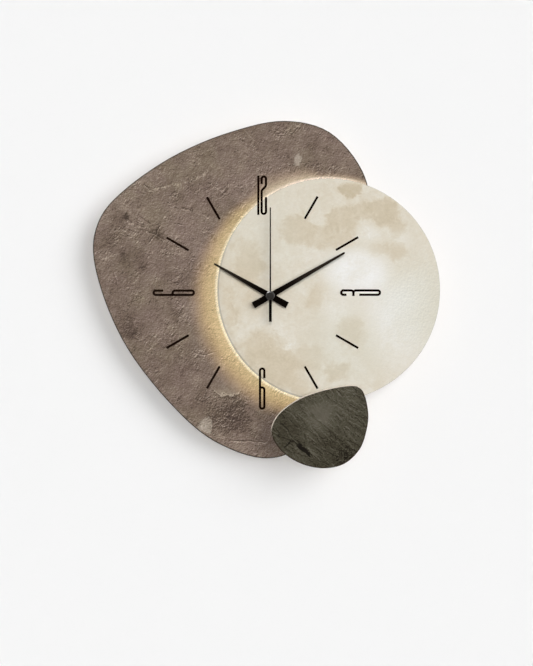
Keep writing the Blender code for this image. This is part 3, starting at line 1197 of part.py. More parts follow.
def make_cover(stack, plan):
    """Rear cover over the train, with the rear pivots, and its screws."""
    low, high = stack.case_back, stack.cover_inner
    room = plan.chamber_room - SEAT_GAP
    cover = box((-room, plan.chamber_bottom + SEAT_GAP, low), (room, plan.chamber_top - SEAT_GAP, high))
    pivots = [(plan.axis, SECOND_ARBOR_RADIUS), (plan.third, PIVOT_RADIUS), (plan.fifth, PIVOT_RADIUS),
              (plan.rotor, PIVOT_RADIUS)]
    for place, radius in pivots:
        end = high - PIVOT_DEPTH - PIVOT_CLEARANCE
        drill_from_front(cover, radius + PIVOT_CLEARANCE, high, end, place)
    drill(cover, KNOB_SHAFT_RADIUS + TUBE_CLEARANCE, low, high, plan.knob, FINE_STEPS)
    for side, place in plan.case_posts().items():
        drill(cover, COVER_SCREW_RADIUS + SCREW_CLEARANCE, low, high, place)
        head = low - SEAT_GAP - COVER_SCREW_HEAD_HEIGHT
        screw = screw_solid(COVER_SCREW_HEAD_RADIUS, COVER_SCREW_HEAD_HEIGHT, COVER_SCREW_RADIUS,
                            COVER_SCREW_LENGTH, place, head)
        sub_part("movement_screw_" + side, screw, "steel")
    sub_part("movement_cover", cover, "black_plastic")


def stator_box(plan):
    """Left, bottom, right and top of the stator's loop, round the rotor and through the coil."""
    reach = 0.5 * COIL_LENGTH + COIL_FLANGE_THICKNESS + STATOR_GAP
    return (plan.coil[0] - reach - STATOR_LIMB, plan.rotor[1] - MAGNET_RADIUS - STATOR_GAP - STATOR_NECK,
            plan.coil[0] + reach + STATOR_LIMB, plan.coil[1] + 0.5 * STATOR_LIMB)


def stator_posts(plan):
    """Places of the case posts that the stator rests on."""
    left, bottom, right, top = stator_box(plan)
    x = left + 0.5 * STATOR_LIMB
    return [(x, bottom + STATOR_LIMB), (x, bottom + 2.8 * STATOR_LIMB)]


def make_motor(stack, plan):
    """Stator loop with a round gap for the rotor, and the drive coil on its upper limb."""
    low, high = stack.layer["seconds"]
    left, bottom, right, top = stator_box(plan)
    neck = MAGNET_RADIUS + STATOR_GAP + STATOR_NECK
    outer = [(left, bottom), (plan.rotor[0] + neck, bottom), (plan.rotor[0] + neck, plan.rotor[1] + neck),
             (right, plan.rotor[1] + 1.6 * neck), (right, top), (left, top)]
    window = [(left + STATOR_LIMB, plan.rotor[1] + neck), (plan.rotor[0] + 0.5 * neck, plan.rotor[1] + neck),
              (right - STATOR_LIMB, plan.rotor[1] + 2.1 * neck), (right - STATOR_LIMB, top - STATOR_LIMB),
              (left + STATOR_LIMB, top - STATOR_LIMB)]
    stator = prism([outer, window], low, high)
    drill(stator, MAGNET_RADIUS + STATOR_GAP, low, high, plan.rotor, ROUND_STEPS)
    sub_part("stator", stator, "steel")
    half, flange = 0.5 * COIL_LENGTH, COIL_FLANGE_THICKNESS
    coil = cylinder(COIL_RADIUS, -half, half)
    for side in (-1.0, 1.0):
        middle = side * (half + 0.5 * flange - THIN_LAP)
        fuse(coil, cylinder(COIL_FLANGE_RADIUS, middle - 0.5 * flange, middle + 0.5 * flange))
    along_x(coil, (*plan.coil, 0.5 * (low + high)))
    reach = half + flange + CUT_OVERRUN
    cut(coil, box((plan.coil[0] - reach, top - STATOR_LIMB - SCREW_CLEARANCE, low - SCREW_CLEARANCE),
                  (plan.coil[0] + reach, top + SCREW_CLEARANCE, high + SCREW_CLEARANCE)))
    sub_part("drive_coil", coil, "copper_winding")


def make_movement_circuit(stack, plan):
    """Circuit board on the cover's inner face, with its crystal."""
    low = stack.cover_inner + SEAT_GAP
    high = low + CIRCUIT_THICKNESS
    right = plan.chamber_room - CASE_ROOM
    bottom = plan.knob[1] + KNOB_SHAFT_RADIUS + CASE_ROOM
    board = box((right - CIRCUIT_WIDTH, bottom, low), (right, bottom + CIRCUIT_HEIGHT, high))
    sub_part("movement_circuit", board, "circuit_green")
    middle = bottom + 0.55 * CIRCUIT_HEIGHT
    crystal = cylinder(CRYSTAL_RADIUS, -0.5 * CRYSTAL_LENGTH, 0.5 * CRYSTAL_LENGTH, steps=PIVOT_STEPS)
    along_x(crystal, (right - 0.5 * CIRCUIT_WIDTH, middle, high + PIVOT_CLEARANCE + CRYSTAL_RADIUS))
    sub_part("quartz_crystal", crystal, "steel")


def make_cell(stack, plan):
    """Dry cell in its bay, and the two contacts at its ends."""
    z = stack.ceiling - CELL_CLEARANCE - CELL_RADIUS
    start = -0.5 * (CELL_LENGTH + CELL_NUB_LENGTH)
    profile = [(0.0, CELL_LENGTH + CELL_NUB_LENGTH), (CELL_NUB_RADIUS, CELL_LENGTH + CELL_NUB_LENGTH),
               (CELL_NUB_RADIUS, CELL_LENGTH), (CELL_RADIUS - CELL_EDGE, CELL_LENGTH),
               (CELL_RADIUS, CELL_LENGTH - CELL_EDGE),
               (CELL_RADIUS, CELL_EDGE), (CELL_RADIUS - CELL_EDGE, 0.0), (0.0, 0.0)]
    cell = along_x(turned(profile), (start, plan.cell_y, z))
    sub_part("dry_cell", cell, "cell_jacket")
    half = 0.5 * CONTACT_HEIGHT
    for name, side in (("cell_contact_minus", -1.0), ("cell_contact_plus", 1.0)):
        near = side * (0.5 * (CELL_LENGTH + CELL_NUB_LENGTH) + CONTACT_GAP)
        far = near + side * CONTACT_THICKNESS
        plate = box((min(near, far), plan.cell_y - half, z - half),
                    (max(near, far), plan.cell_y + half, z + half))
        sub_part(name, plate, "steel")


def make_fixing(stack, plan):
    """Threaded bush, gasket, washer and nut that clamp the movement to the back board."""
    front, flange_front = stack.bush_front, stack.case_front + SEAT_GAP + BUSH_FLANGE_THICKNESS
    bore = HOUR_TUBE_RADIUS + TUBE_CLEARANCE
    profile = [(bore, front), (BUSH_RADIUS - BUSH_EDGE, front), (BUSH_RADIUS, front - BUSH_EDGE),
               (BUSH_RADIUS, flange_front), (BUSH_FLANGE_RADIUS, flange_front),
               (BUSH_FLANGE_RADIUS, stack.case_front + SEAT_GAP), (BUSH_RADIUS, stack.case_front + SEAT_GAP),
               (BUSH_RADIUS, stack.ceiling), (bore, stack.ceiling)]
    sub_part("threaded_bush", turned(profile), "brass")
    low = stack.case_front + SEAT_GAP
    sub_part("movement_gasket", ring(GASKET_RADIUS, BUSH_FLANGE_RADIUS + SCREW_CLEARANCE, low,
                                     low + GASKET_THICKNESS, steps=ROUND_STEPS), "rubber")
    low = stack.board_front + SEAT_GAP
    bore = BUSH_RADIUS + PIVOT_CLEARANCE
    washer = ring(WASHER_RADIUS, bore, low, low + WASHER_THICKNESS, steps=ROUND_STEPS)
    sub_part("bush_washer", washer, "steel")
    low += WASHER_THICKNESS + SEAT_GAP
    corner = 0.5 * NUT_ACROSS_FLATS / math.cos(math.radians(30.0))
    hexagon = [polar(corner, 60.0 * i) for i in range(6)]
    hole = arc(plan.axis, bore, 0.0, 360.0, ROUND_STEPS)[:-1]
    sub_part("bush_nut", prism([hexagon, hole], low, low + NUT_THICKNESS), "brass")


# Hands

def hand_solid(length, tail, tail_width, tip_width, hub_radius, bore, low, turn):
    """Straight tapering hand with a round hub, bored for its tube."""
    half_tail, half_tip = 0.5 * tail_width, 0.5 * tip_width
    blade = [(-half_tail, -tail), (half_tail, -tail), (half_tip, length - half_tip), (0.0, length),
             (-half_tip, length - half_tip)]
    hand = moved(prism([blade], low, low + HAND_THICKNESS), Matrix.Rotation(math.radians(turn), 4, "Z"))
    if hub_radius > 0.0:
        fuse(hand, cylinder(hub_radius, low, low + HAND_THICKNESS))
    return drill(hand, bore, low, low + HAND_THICKNESS, steps=FINE_STEPS)


def make_hands(stack, plan):
    """Hour, minute and second hands, and the cap over their hubs."""
    bore = HOUR_TUBE_RADIUS + TUBE_CLEARANCE
    hour = hand_solid(HOUR_HAND_LENGTH, HOUR_HAND_TAIL, HOUR_HAND_TAIL_WIDTH, HOUR_HAND_TIP_WIDTH,
                      bore + HUB_WALL, bore, stack.hour_hand, HOUR_HAND_ANGLE)
    sub_part("hour_hand", hour, "hand_paint", (*plan.axis, stack.hour_hand))
    bore = MINUTE_TUBE_RADIUS + TUBE_CLEARANCE
    minute = hand_solid(MINUTE_HAND_LENGTH, MINUTE_HAND_TAIL, MINUTE_HAND_TAIL_WIDTH, MINUTE_HAND_TIP_WIDTH,
                        bore + HUB_WALL, bore, stack.minute_hand, MINUTE_HAND_ANGLE)
    sub_part("minute_hand", minute, "hand_paint", (*plan.axis, stack.minute_hand))
    bore = SECOND_ARBOR_RADIUS + TUBE_CLEARANCE
    hub = bore + HUB_WALL
    low, high = stack.second_hand, stack.second_hand + HAND_THICKNESS
    half, half_tip = 0.5 * SECOND_HAND_HUB_WIDTH, 0.5 * SECOND_HAND_TIP_WIDTH
    needle = [(-half, 0.0), (half, 0.0), (half_tip, SECOND_HAND_LENGTH), (-half_tip, SECOND_HAND_LENGTH)]
    half = 0.5 * SECOND_HAND_TAIL_WIDTH
    tail = [(-half, -SECOND_HAND_TAIL), (half, -SECOND_HAND_TAIL), (half, -0.5 * hub), (-half, -0.5 * hub)]
    second = fuse(cylinder(hub, low, high), prism([needle], low, high), prism([tail], low, high))
    drill(second, bore, low, high)
    sub_part("second_hand", second, "hand_paint", (*plan.axis, stack.second_hand))
    back, front = stack.cap_back, stack.cap_front
    ease = 0.3 * CAP_THICKNESS
    socket = back + 0.5 * CAP_THICKNESS + TUBE_CLEARANCE
    profile = [(0.0, front), (CAP_RADIUS - 2.0 * ease, front),
               (CAP_RADIUS - 0.5 * ease, front - 0.5 * ease), (CAP_RADIUS, front - 2.0 * ease),
               (CAP_RADIUS, back), (bore, back), (bore, socket), (0.0, socket)]
    sub_part("hand_cap", turned(profile), "cap_paint", (*plan.axis, back))


# Wall side

def make_hanger(stack, plan):
    """Sawtooth hanger: a steel strip whose raised middle hooks over the nail."""
    foot = stack.board_back - SEAT_GAP - 0.5 * HANGER_SHEET
    raised = foot - HANGER_RISE
    half, flat = 0.5 * HANGER_LENGTH, 0.5 * HANGER_RAISED_LENGTH
    path = [(-half, foot), (-flat - HANGER_RAMP, foot), (-flat, raised), (flat, raised),
            (flat + HANGER_RAMP, foot), (half, foot)]
    bottom = plan.hanger_middle() - 0.5 * HANGER_HEIGHT
    strip = prism([stroke(path, HANGER_SHEET)], bottom, bottom + HANGER_HEIGHT)
    swap = Matrix(((1, 0, 0, 0), (0, 0, 1, 0), (0, 1, 0, 0), (0, 0, 0, 1)))
    moved(strip, swap)
    slot_half, slot_low = 0.5 * HANGER_SLOT_LENGTH, NAIL_ABOVE_AXIS - HANGER_SLOT_HEIGHT
    step = HANGER_SLOT_LENGTH / HANGER_TEETH
    slot = [(-slot_half, slot_low), (slot_half, slot_low)]
    for tooth in range(HANGER_TEETH):
        x = slot_half - tooth * step
        slot += [(x, NAIL_ABOVE_AXIS - HANGER_TOOTH), (x - 0.5 * step, NAIL_ABOVE_AXIS)]
    slot.append((-slot_half, NAIL_ABOVE_AXIS - HANGER_TOOTH))
    cut(strip, prism([slot], raised - HANGER_SHEET, raised + HANGER_SHEET))
    head = foot - 0.5 * HANGER_SHEET - SEAT_GAP - WOOD_SCREW_HEAD_HEIGHT
    for side, place in plan.hanger_screws().items():
        drill(strip, WOOD_SCREW_RADIUS + SCREW_CLEARANCE, foot, foot, place)
        screw = screw_solid(WOOD_SCREW_HEAD_RADIUS, WOOD_SCREW_HEAD_HEIGHT, WOOD_SCREW_RADIUS,
                            HANGER_SCREW_LENGTH, place, head)
        sub_part("hanger_screw_" + side, screw, "steel")
    sub_part("sawtooth_hanger", strip, "steel")


def make_bumpers(stack, plan):
    """Rubber bumpers that hold the board off the wall."""
    front = stack.board_back - SEAT_GAP
    for corner, (u, v) in BUMPER_PLACES.items():
        profile = [(0.0, front), (BUMPER_RADIUS, front), (BUMPER_RADIUS, BUMPER_EASE),
                   (BUMPER_RADIUS - BUMPER_EASE, 0.0), (0.0, 0.0)]
        x, y = plan.on_board(u, v)
        bumper = moved(turned(profile, FINE_STEPS), Matrix.Translation((x, y, 0.0)))
        sub_part("wall_bumper_" + corner, bumper, "rubber")


def make_carrier_screws(stack, plan):
    """Screws through the back board into the carrier."""
    head = stack.board_back - SEAT_GAP - WOOD_SCREW_HEAD_HEIGHT
    for side, place in plan.carrier_screws().items():
        screw = screw_solid(WOOD_SCREW_HEAD_RADIUS, WOOD_SCREW_HEAD_HEIGHT, WOOD_SCREW_RADIUS,
                            CARRIER_SCREW_LENGTH, place, head)
        sub_part("carrier_screw_" + side, screw, "steel")


def build():
    """Make every sub-part and stand the face frame upright at the nail."""
    for collection in (CLOCK, CUTTERS):
        bpy.context.scene.collection.children.link(collection)
    stack, plan = Stack(), Plan()
    make_back_board(stack, plan)
    make_carrier(stack, plan)
    make_moon(stack, plan)
    make_pebble(stack, plan)
    make_tape(stack, plan)
    spots = LightCase(stack, plan)
    make_light_case(spots)
    make_light_electronics(spots)
    make_button(spots)
    make_lead(stack, plan, spots)
    make_train(stack, plan)
    make_motion_work(stack, plan)
    make_bridge(stack, plan)
    make_case(stack, plan)
    make_cover(stack, plan)
    make_motor(stack, plan)
    make_movement_circuit(stack, plan)
    make_cell(stack, plan)
    make_fixing(stack, plan)
    make_hands(stack, plan)
    make_hanger(stack, plan)
    make_bumpers(stack, plan)
    make_carrier_screws(stack, plan)
    CLOCK.objects.link(FACE)
    FACE.location = (0.0, 0.0, -NAIL_ABOVE_AXIS)
    FACE.rotation_euler = (math.radians(90.0), 0.0, 0.0)
    bpy.context.view_layer.update()


build()
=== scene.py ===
"""Lit wall clock: printed boards, glowing rim, hour marks, hands, movement and light control."""

import json
import math

import bmesh
import bpy
from mathutils import Matrix, Vector


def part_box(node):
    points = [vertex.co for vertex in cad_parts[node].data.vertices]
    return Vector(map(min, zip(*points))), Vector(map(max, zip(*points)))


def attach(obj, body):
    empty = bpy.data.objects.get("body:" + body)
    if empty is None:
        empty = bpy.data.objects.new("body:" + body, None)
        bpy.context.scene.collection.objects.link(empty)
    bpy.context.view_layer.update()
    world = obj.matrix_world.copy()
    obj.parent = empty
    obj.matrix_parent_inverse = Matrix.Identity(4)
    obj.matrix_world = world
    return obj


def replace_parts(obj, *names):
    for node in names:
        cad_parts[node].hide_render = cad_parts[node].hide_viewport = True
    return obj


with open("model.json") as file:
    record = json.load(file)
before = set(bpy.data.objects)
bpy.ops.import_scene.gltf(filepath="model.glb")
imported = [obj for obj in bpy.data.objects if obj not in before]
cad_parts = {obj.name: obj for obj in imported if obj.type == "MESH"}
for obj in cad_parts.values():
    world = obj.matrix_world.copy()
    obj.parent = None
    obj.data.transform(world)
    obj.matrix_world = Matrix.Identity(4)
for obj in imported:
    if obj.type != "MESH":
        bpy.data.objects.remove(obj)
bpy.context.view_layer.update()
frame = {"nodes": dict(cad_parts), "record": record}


# Places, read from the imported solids

def middle(node):
    """Middle of a solid's box."""
    low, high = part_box(node)
    return (low + high) / 2.0


AXIS = middle("hand_cap")
MOON = middle("moon_disc")
MOON_RADIUS = 0.5 * (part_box("moon_disc")[1].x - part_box("moon_disc")[0].x)
BOARD_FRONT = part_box("back_board")[0].y
MOON_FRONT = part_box("moon_disc")[0].y

# Millimetres in the finishes
MM = 0.001
PER_METRE = 1000.0
PRINT_ASIDE = (0.7, -1.0)
STRUCK_STEP = 1.2
STRUCK_DROP = 0.85
STRUCK_ROUGHNESS = 0.62
LINE_FADE = 2.0
TAPE_CHIPS_ROUND_RIM = 18.3

# Hour marks
DIAL_LEFT_OF_AXIS = 0.0094
DIAL_ABOVE_AXIS = 0.0035
DIAL = Vector((AXIS.x - DIAL_LEFT_OF_AXIS, 0.0, AXIS.z + DIAL_ABOVE_AXIS))
INK_HEIGHT = 0.00018
INK_WIDTH = 0.0026
INK_LIFT = 0.00002
INK_SHORTEST_STEP = 0.00002
INK_MITRE = 0.5
INK_RIM_GAP = 0.0002
RIM_CUTTER_LENGTH = 0.1
RIM_CUTTER_MIDDLE = -0.035
TICK_INNER_RADIUS = 0.0979
TICK_OUTER_RADIUS = 0.1275
DIGIT_LOOP = 0.0050
TWELVE_HEIGHT = 0.0461
TWELVE_OUTER_RADIUS = 0.1353
TWELVE_SPACING = 0.0038
TWO_HOOK = 0.0099
TWO_SHOULDER = 0.0110
TWO_WAIST = 0.0185
TWO_TAIL_HEIGHT = 0.0212
SIX_HEIGHT = 0.0490
SIX_HOOK = 0.0124
SIX_BOWL_HEIGHT = 0.0270
SIX_OUTER_RADIUS = 0.1350
NINE_OUTER_RADIUS = 0.1265
THREE_HEIGHT = 0.0471
THREE_OUTER_RADIUS = 0.1367
THREE_HOOK = 0.0073
THREE_UPPER_BOWL = 0.0153
THREE_LOWER_END = 0.0066
THREE_NOTCH = 0.0027
ARC_STEPS = 12

# Solids as whole faces: distance of points that are one, and angle in degrees of faces that are one
WELD = 0.000002
FLAT = 0.5

# Rounding of the edges of what shows, in metres
BOARD_ROUNDING = 0.0011
ROUNDINGS = {
    "moon_disc": 0.0004, "slate_pebble": 0.0012, "light_carrier": 0.0003, "pebble_spacer": 0.0003,
    "pebble_standoff": 0.0003, "hour_hand": 0.00018, "minute_hand": 0.00018, "second_hand": 0.00012,
    "movement_case": 0.0004, "movement_cover": 0.0003, "light_case": 0.0005, "light_case_lid": 0.0003,
    "sawtooth_hanger": 0.00012, "setting_knob": 0.0002, "light_button": 0.0003, "charging_inlet": 0.0002,
    "lead_grommet": 0.0002, "threaded_bush": 0.0002, "charge_lamp": 0.0003, "dry_cell": 0.0002,
    "wall_bumper_upper_left": 0.0006, "wall_bumper_upper_right": 0.0006, "wall_bumper_lower_left": 0.0006,
    "wall_bumper_lower_right": 0.0006}

# Screws and cap
SCREW_NAMES = ("hanger_screw", "movement_screw", "light_case_screw")
SCREW_ROUNDING = 0.00018
RECESS_REACH = 0.28
RECESS_SLOT = 0.16
RECESS_TAPER = 0.55
RECESS_DEPTH = 0.0007
RECESS_ABOVE_HEAD = 0.0005
TURNED_STEPS = 96
CAP_RIM = 0.0013
CAP_RIM_STEPS = 8
CAP_RIM_BELOW_CROWN = 0.00012
CAP_CROWN = ((2.0 / 3.0, 0.00006), (1.0 / 3.0, 0.00002), (1.0 / 12.0, 0.0))

# Glow on the board: bearings of its widest place and of its lower end
GLOW_BEARING = 203.0
GLOW_LOWER_BEARING = 225.0

# Camera: the photograph's frame, seen straight on
PHOTO_HEIGHT = 0.7672
PHOTO_MIDDLE = (-0.0044, -0.1779)
PHOTO_PLANE = -0.0330
LENS = 200.0
SENSOR = 36.0

# Light on the wall, in shares of a plain level
KEY_SHARE = 0.44
FRONT_SHARE = 0.42
HANDS_SHARE = 0.26
BEHIND_SHARE = 0.30
STRIP_SHARE = 2.40
AMBIENT = 0.14
PAPER = 0.930

# Room
ROOM_SIDE = 3.0
ROOM_DEPTH = 6.0
FLOOR_LEVEL = -1.7
WALL_TOP = 2.4
WALL_FACE = 0.0005


# Shader values

class Value:
    """A number or colour that nodes work out. Sums and products of numbers add Math nodes."""

    def __init__(self, nodes, socket):
        self.nodes = nodes
        self.socket = socket

    def math(self, operation, *others):
        return self.nodes.add("ShaderNodeMath", {"operation": operation}, (self, *others))

    def __add__(self, other):
        return self.math("ADD", other)

    def __mul__(self, other):
        return self.math("MULTIPLY", other)

    def __sub__(self, other):
        return self.math("SUBTRACT", other)

    def __truediv__(self, other):
        return self.math("DIVIDE", other)

    def __pow__(self, other):
        return self.math("POWER", other)

    def __rsub__(self, other):
        return self.nodes.add("ShaderNodeMath", {"operation": "SUBTRACT"}, (other, self))

    __radd__ = __add__
    __rmul__ = __mul__

    def rise(self, low, high):
        """0 below low, 1 above high and a smooth step between; falls where low is above high."""
        return self.nodes.add("ShaderNodeMapRange", {"interpolation_type": "SMOOTHSTEP"}, (self, low, high))


def distance(across, up):
    """Length of a way across and up."""
    return (across * across + up * up) ** 0.5


def total(values):
    """Sum of several shader values."""
    whole, *others = values
    for value in others:
        whole = whole + value
    return whole


class Nodes:
    """Nodes of a finish or of the world, added one at a time."""

    def __init__(self, tree):
        self.tree = tree

    def add(self, kind, settings=None, sockets=(), out=0):
        """Add a node: its settings first, then its sockets, by place or by name."""
        node = self.tree.nodes.new(kind)
        for name, value in (settings or {}).items():
            if name == "stops":
                ramp = node.color_ramp
                for _ in range(len(value) - len(ramp.elements)):
                    ramp.elements.new(0.5)
                for stop, (position, colour) in zip(ramp.elements, value):
                    stop.position, stop.color = position, (*colour, 1.0)
            else:
                setattr(node, name, value)
        pairs = sockets.items() if isinstance(sockets, dict) else enumerate(sockets)
        for place, value in pairs:
            self.feed(node.inputs[place], value)
        return Value(self, node.outputs[out])

    def feed(self, socket, value):
        """Link or set one socket."""
        if isinstance(value, Value):
            self.tree.links.new(value.socket, socket)
        elif socket.type == "RGBA" and len(value) == 3:
            socket.default_value = (*value, 1.0)
        else:
            socket.default_value = value


class Finish(Nodes):
    """One finish of the clock: a material and the patterns that go into it."""

    def __init__(self, name):
        self.material = bpy.data.materials.new(name)
        self.material.use_nodes = True
        super().__init__(self.material.node_tree)
        self.shader = self.tree.nodes["Principled BSDF"]
        self.own = self.add("ShaderNodeTexCoord", out="Object")

    def stretched(self, size, turn=0.0, shift=0.0):
        """Place on the piece with a unit of so many millimetres, turned on the face of the clock."""
        sizes = size if isinstance(size, tuple) else (size, size, size)
        return self.add("ShaderNodeMapping", {"vector_type": "TEXTURE"}, {
            "Vector": self.own, "Location": shift if isinstance(shift, tuple) else (shift, shift, shift),
            "Rotation": (0.0, math.radians(turn), 0.0),
            "Scale": [MM * side for side in sizes]})

    def noise(self, size, detail=4.0, rough=0.55, warp=0.0, turn=0.0, shift=0.0):
        """Cloudy grain whose patches are about size millimetres."""
        return self.add("ShaderNodeTexNoise", {}, {
            "Vector": self.stretched(size, turn, shift), "Scale": 1.0, "Detail": detail, "Roughness": rough,
            "Distortion": warp})

    def cells(self, size, shift=0.0, uneven=1.0):
        """Distance from the middles of cells about size millimetres wide."""
        return self.add("ShaderNodeTexVoronoi", {}, {
            "Vector": self.stretched(size, shift=shift), "Scale": 1.0, "Randomness": uneven}, out="Distance")

    def parts(self, vector):
        """The three numbers of a vector."""
        split = self.add("ShaderNodeSeparateXYZ", {}, (vector,))
        return [Value(self, socket) for socket in split.socket.node.outputs]

    def face(self, centre=AXIS):
        """Millimetres right of and above a centre, the hands' axis unless another is given."""
        across, _, up = self.parts(self.own)
        return (across - centre.x) * PER_METRE, (up - centre.z) * PER_METRE

    def spot(self, face, centre, radius, edge, waver=0.0, flat=1.0):
        """1 inside a soft spot of the face, flattened so many times, and 0 outside it, in millimetres."""
        away = distance(face[0] - centre[0], (face[1] - centre[1]) * flat) + waver
        return away.rise(radius + edge, radius - edge)

    def line(self, face, start, end, width, waver=0.0):
        """1 on a thin line of the face between two places and 0 beside it, in millimetres."""
        along = Vector(end) - Vector(start)
        reach = along.length
        along.normalize()
        across, up = face[0] - start[0], face[1] - start[1]
        run = across * along.x + up * along.y
        off = (up * along.x - across * along.y + waver).math("ABSOLUTE")
        ends = run.rise(-LINE_FADE, LINE_FADE), run.rise(reach + LINE_FADE, reach - LINE_FADE)
        return off.rise(width, 0.3 * width) * ends[0] * ends[1]

    def struck(self, size, detail=5.0, warp=0.5, turn=0.0, shift=0.0, plateau=None, lit=-0.5):
        """Light on the upper side of printed grain and shade on its lower side, 0 on the average.
        A plateau flattens the grain to flakes, and lit leans the light to the left or the right."""
        sides = []
        for aside in (0.0, MM * STRUCK_STEP):
            place = (shift - lit * aside, shift, shift - STRUCK_DROP * aside)
            grain = self.noise(size, detail, STRUCK_ROUGHNESS, warp, turn, place)
            sides.append(grain.rise(*plateau) if plateau else grain)
        return sides[0] - sides[1]

    def mix(self, share, first, second, blend="MIX"):
        """Blend of two colours."""
        return self.add("ShaderNodeMix", {"data_type": "RGBA", "blend_type": blend},
                        {0: share, 6: first, 7: second}, out=2)

    def grey(self, value):
        """Grey colour of a number."""
        return self.add("ShaderNodeCombineXYZ", {}, (value, value, value))

    def ramp(self, value, *stops):
        """Colour looked up on a ramp."""
        return self.add("ShaderNodeValToRGB", {"stops": stops}, (value,))

    def on_front(self, print_colour, edge=(0.80, 0.94), edge_highlight=0.0):
        """Print on the front of a board, painted shade on its rounded cut edges and bare fibreboard behind.
        The edge highlight is the share of a painted pale highlight along the upper left edge."""
        normal = self.add("ShaderNodeNewGeometry", out="True Normal")
        rightward, toward_wall, upward = self.parts(normal)
        front, back = (0.0 - toward_wall).rise(*edge), toward_wall.rise(0.80, 0.94)
        fibres = self.noise((3.0, 1.2, 3.0), 6.0, 0.7)
        # Painted shade: near-black colour on the rounded cut edges, lightened by a painted highlight on the
        # upper left ones.
        edge_shade_and_highlight = self.mix(fibres, (0.014, 0.009, 0.006), (0.060, 0.040, 0.024))
        highlight_share = edge_highlight * (1.2 * upward - 0.8 * rightward).rise(0.24, 0.44)
        edge_shade_and_highlight = self.mix(highlight_share * (0.0 - toward_wall).rise(0.10, 0.30), edge_shade_and_highlight, (0.70, 0.61, 0.51))
        bare = self.mix(fibres, (0.260, 0.205, 0.155), (0.400, 0.330, 0.265))
        return self.mix(front, self.mix(back, edge_shade_and_highlight, bare), print_colour), front

    def relief(self, height, depth):
        """Surface relief from a height, so many millimetres deep for a height of 1."""
        return self.add("ShaderNodeBump", {}, {"Distance": MM * depth, "Height": height}, out="Normal")

    def close(self, **sockets):
        """Set the shader's sockets, named with underscores, and give the material."""
        for name, value in sockets.items():
            self.feed(self.shader.inputs[name.replace("_", " ")], value)
        return self.material

    def close_with(self, share, other):
        """Put another shader in the place of the finish's own by a share, and give the material."""
        both = self.add("ShaderNodeMixShader", {}, (share, Value(self, self.shader.outputs[0]), other))
        self.feed(self.tree.nodes["Material Output"].inputs["Surface"], both)
        return self.material


# Finishes of the boards

def about_moon(face):
    """Millimetres right of and above the moon's middle, and the distance from it."""
    across = face[0] - (MOON.x - AXIS.x) * PER_METRE
    up = face[1] - (MOON.z - AXIS.z) * PER_METRE
    return across, up, distance(across, up)


def beside(face):
    """The face moved by the width of a printed edge, to put the light beside its shade."""
    return face[0] - PRINT_ASIDE[0], face[1] - PRINT_ASIDE[1]


def painted_glow_on_board(finish, face, tone):
    """Painted glow of the hidden tape's warm light on the board, as emission by distance beyond the moon's
    rim.
    """
    across, up, away = about_moon(face)
    beyond = away - MOON_RADIUS * PER_METRE
    facing, low = ((across * math.cos(bearing) + up * math.sin(bearing)) / away
                   for bearing in (math.radians(GLOW_BEARING), math.radians(GLOW_LOWER_BEARING)))
    width = facing.rise(-0.30, 1.0) + 0.50 * facing.rise(-0.36, -0.18) * facing.rise(0.32, 0.12)
    upper_left = facing.rise(0.10, 0.30) * low.rise(0.85, 0.25)
    reach = (9.0 + 27.0 * width) * (1.0 - 0.19 * upper_left)
    steps = beyond / reach + 0.16 * (finish.noise(26.0, 3.0) - 0.5) + 0.10 * (tone - 0.5)
    warm = finish.ramp(steps, (0.0, (0.64, 0.53, 0.300)), (0.12, (0.50, 0.385, 0.190)),
                       (0.30, (0.425, 0.315, 0.143)), (0.48, (0.300, 0.210, 0.088)),
                       (0.66, (0.170, 0.115, 0.050)), (0.82, (0.060, 0.038, 0.018)), (1.0, (0.0, 0.0, 0.0)))
    pale = finish.ramp(steps, (0.0, (0.62, 0.54, 0.40)), (0.20, (0.33, 0.275, 0.185)),
                       (0.45, (0.155, 0.12, 0.078)), (0.75, (0.035, 0.025, 0.015)), (1.0, (0.0, 0.0, 0.0)))
    light = finish.mix(facing.rise(0.15, 0.45), pale, warm)
    # Painted highlight: a thin bright line just outside the moon's rim, all round but the upper right.
    line = beyond.rise(3.9, 1.0) * facing.rise(-0.80, -0.30)
    line_light = finish.mix(facing.rise(-0.2, 0.6), (0.76, 0.65, 0.54), (0.84, 0.74, 0.51))
    light = finish.mix(line, light, line_light)
    level = (0.64 + 0.72 * tone) * (1.0 - 0.18 * upper_left) * beyond.rise(-1.5, -0.5)
    return finish.mix(1.0, light, finish.grey(level), "MULTIPLY")


# Shaded patches of the board: right, above, radius, soft edge and shade of each
BOARD_SHADES = (
    (-186.0, 62.0, 12.0, 14.0, -0.13), (-161.0, 41.0, 15.0, 8.0, -0.20), (-161.0, -37.0, 9.0, 10.0, -0.28),
    (-111.0, -24.0, 8.0, 7.0, -0.12), (-92.0, -18.0, 9.0, 9.0, 0.10), (-127.0, -82.0, 18.0, 16.0, -0.01),
    (-135.0, 122.0, 26.0, 20.0, 0.05), (-46.0, -138.0, 20.0, 12.0, -0.26), (-78.0, -122.0, 11.0, 8.0, -0.12),
    (-24.0, -184.0, 16.0, 12.0, 0.06), (48.0, 182.0, 22.0, 18.0, -0.04), (-25.0, 168.0, 26.0, 20.0, -0.04),
    (-89.0, -94.0, 7.0, 2.5, 0.13), (-173.0, 88.0, 9.0, 8.0, -0.18), (80.0, 150.0, 14.0, 12.0, 0.05),
    (-92.0, -62.0, 14.0, 12.0, 0.04), (-181.0, -5.0, 10.0, 10.0, -0.05), (-104.0, 62.0, 16.0, 12.0, 0.05))
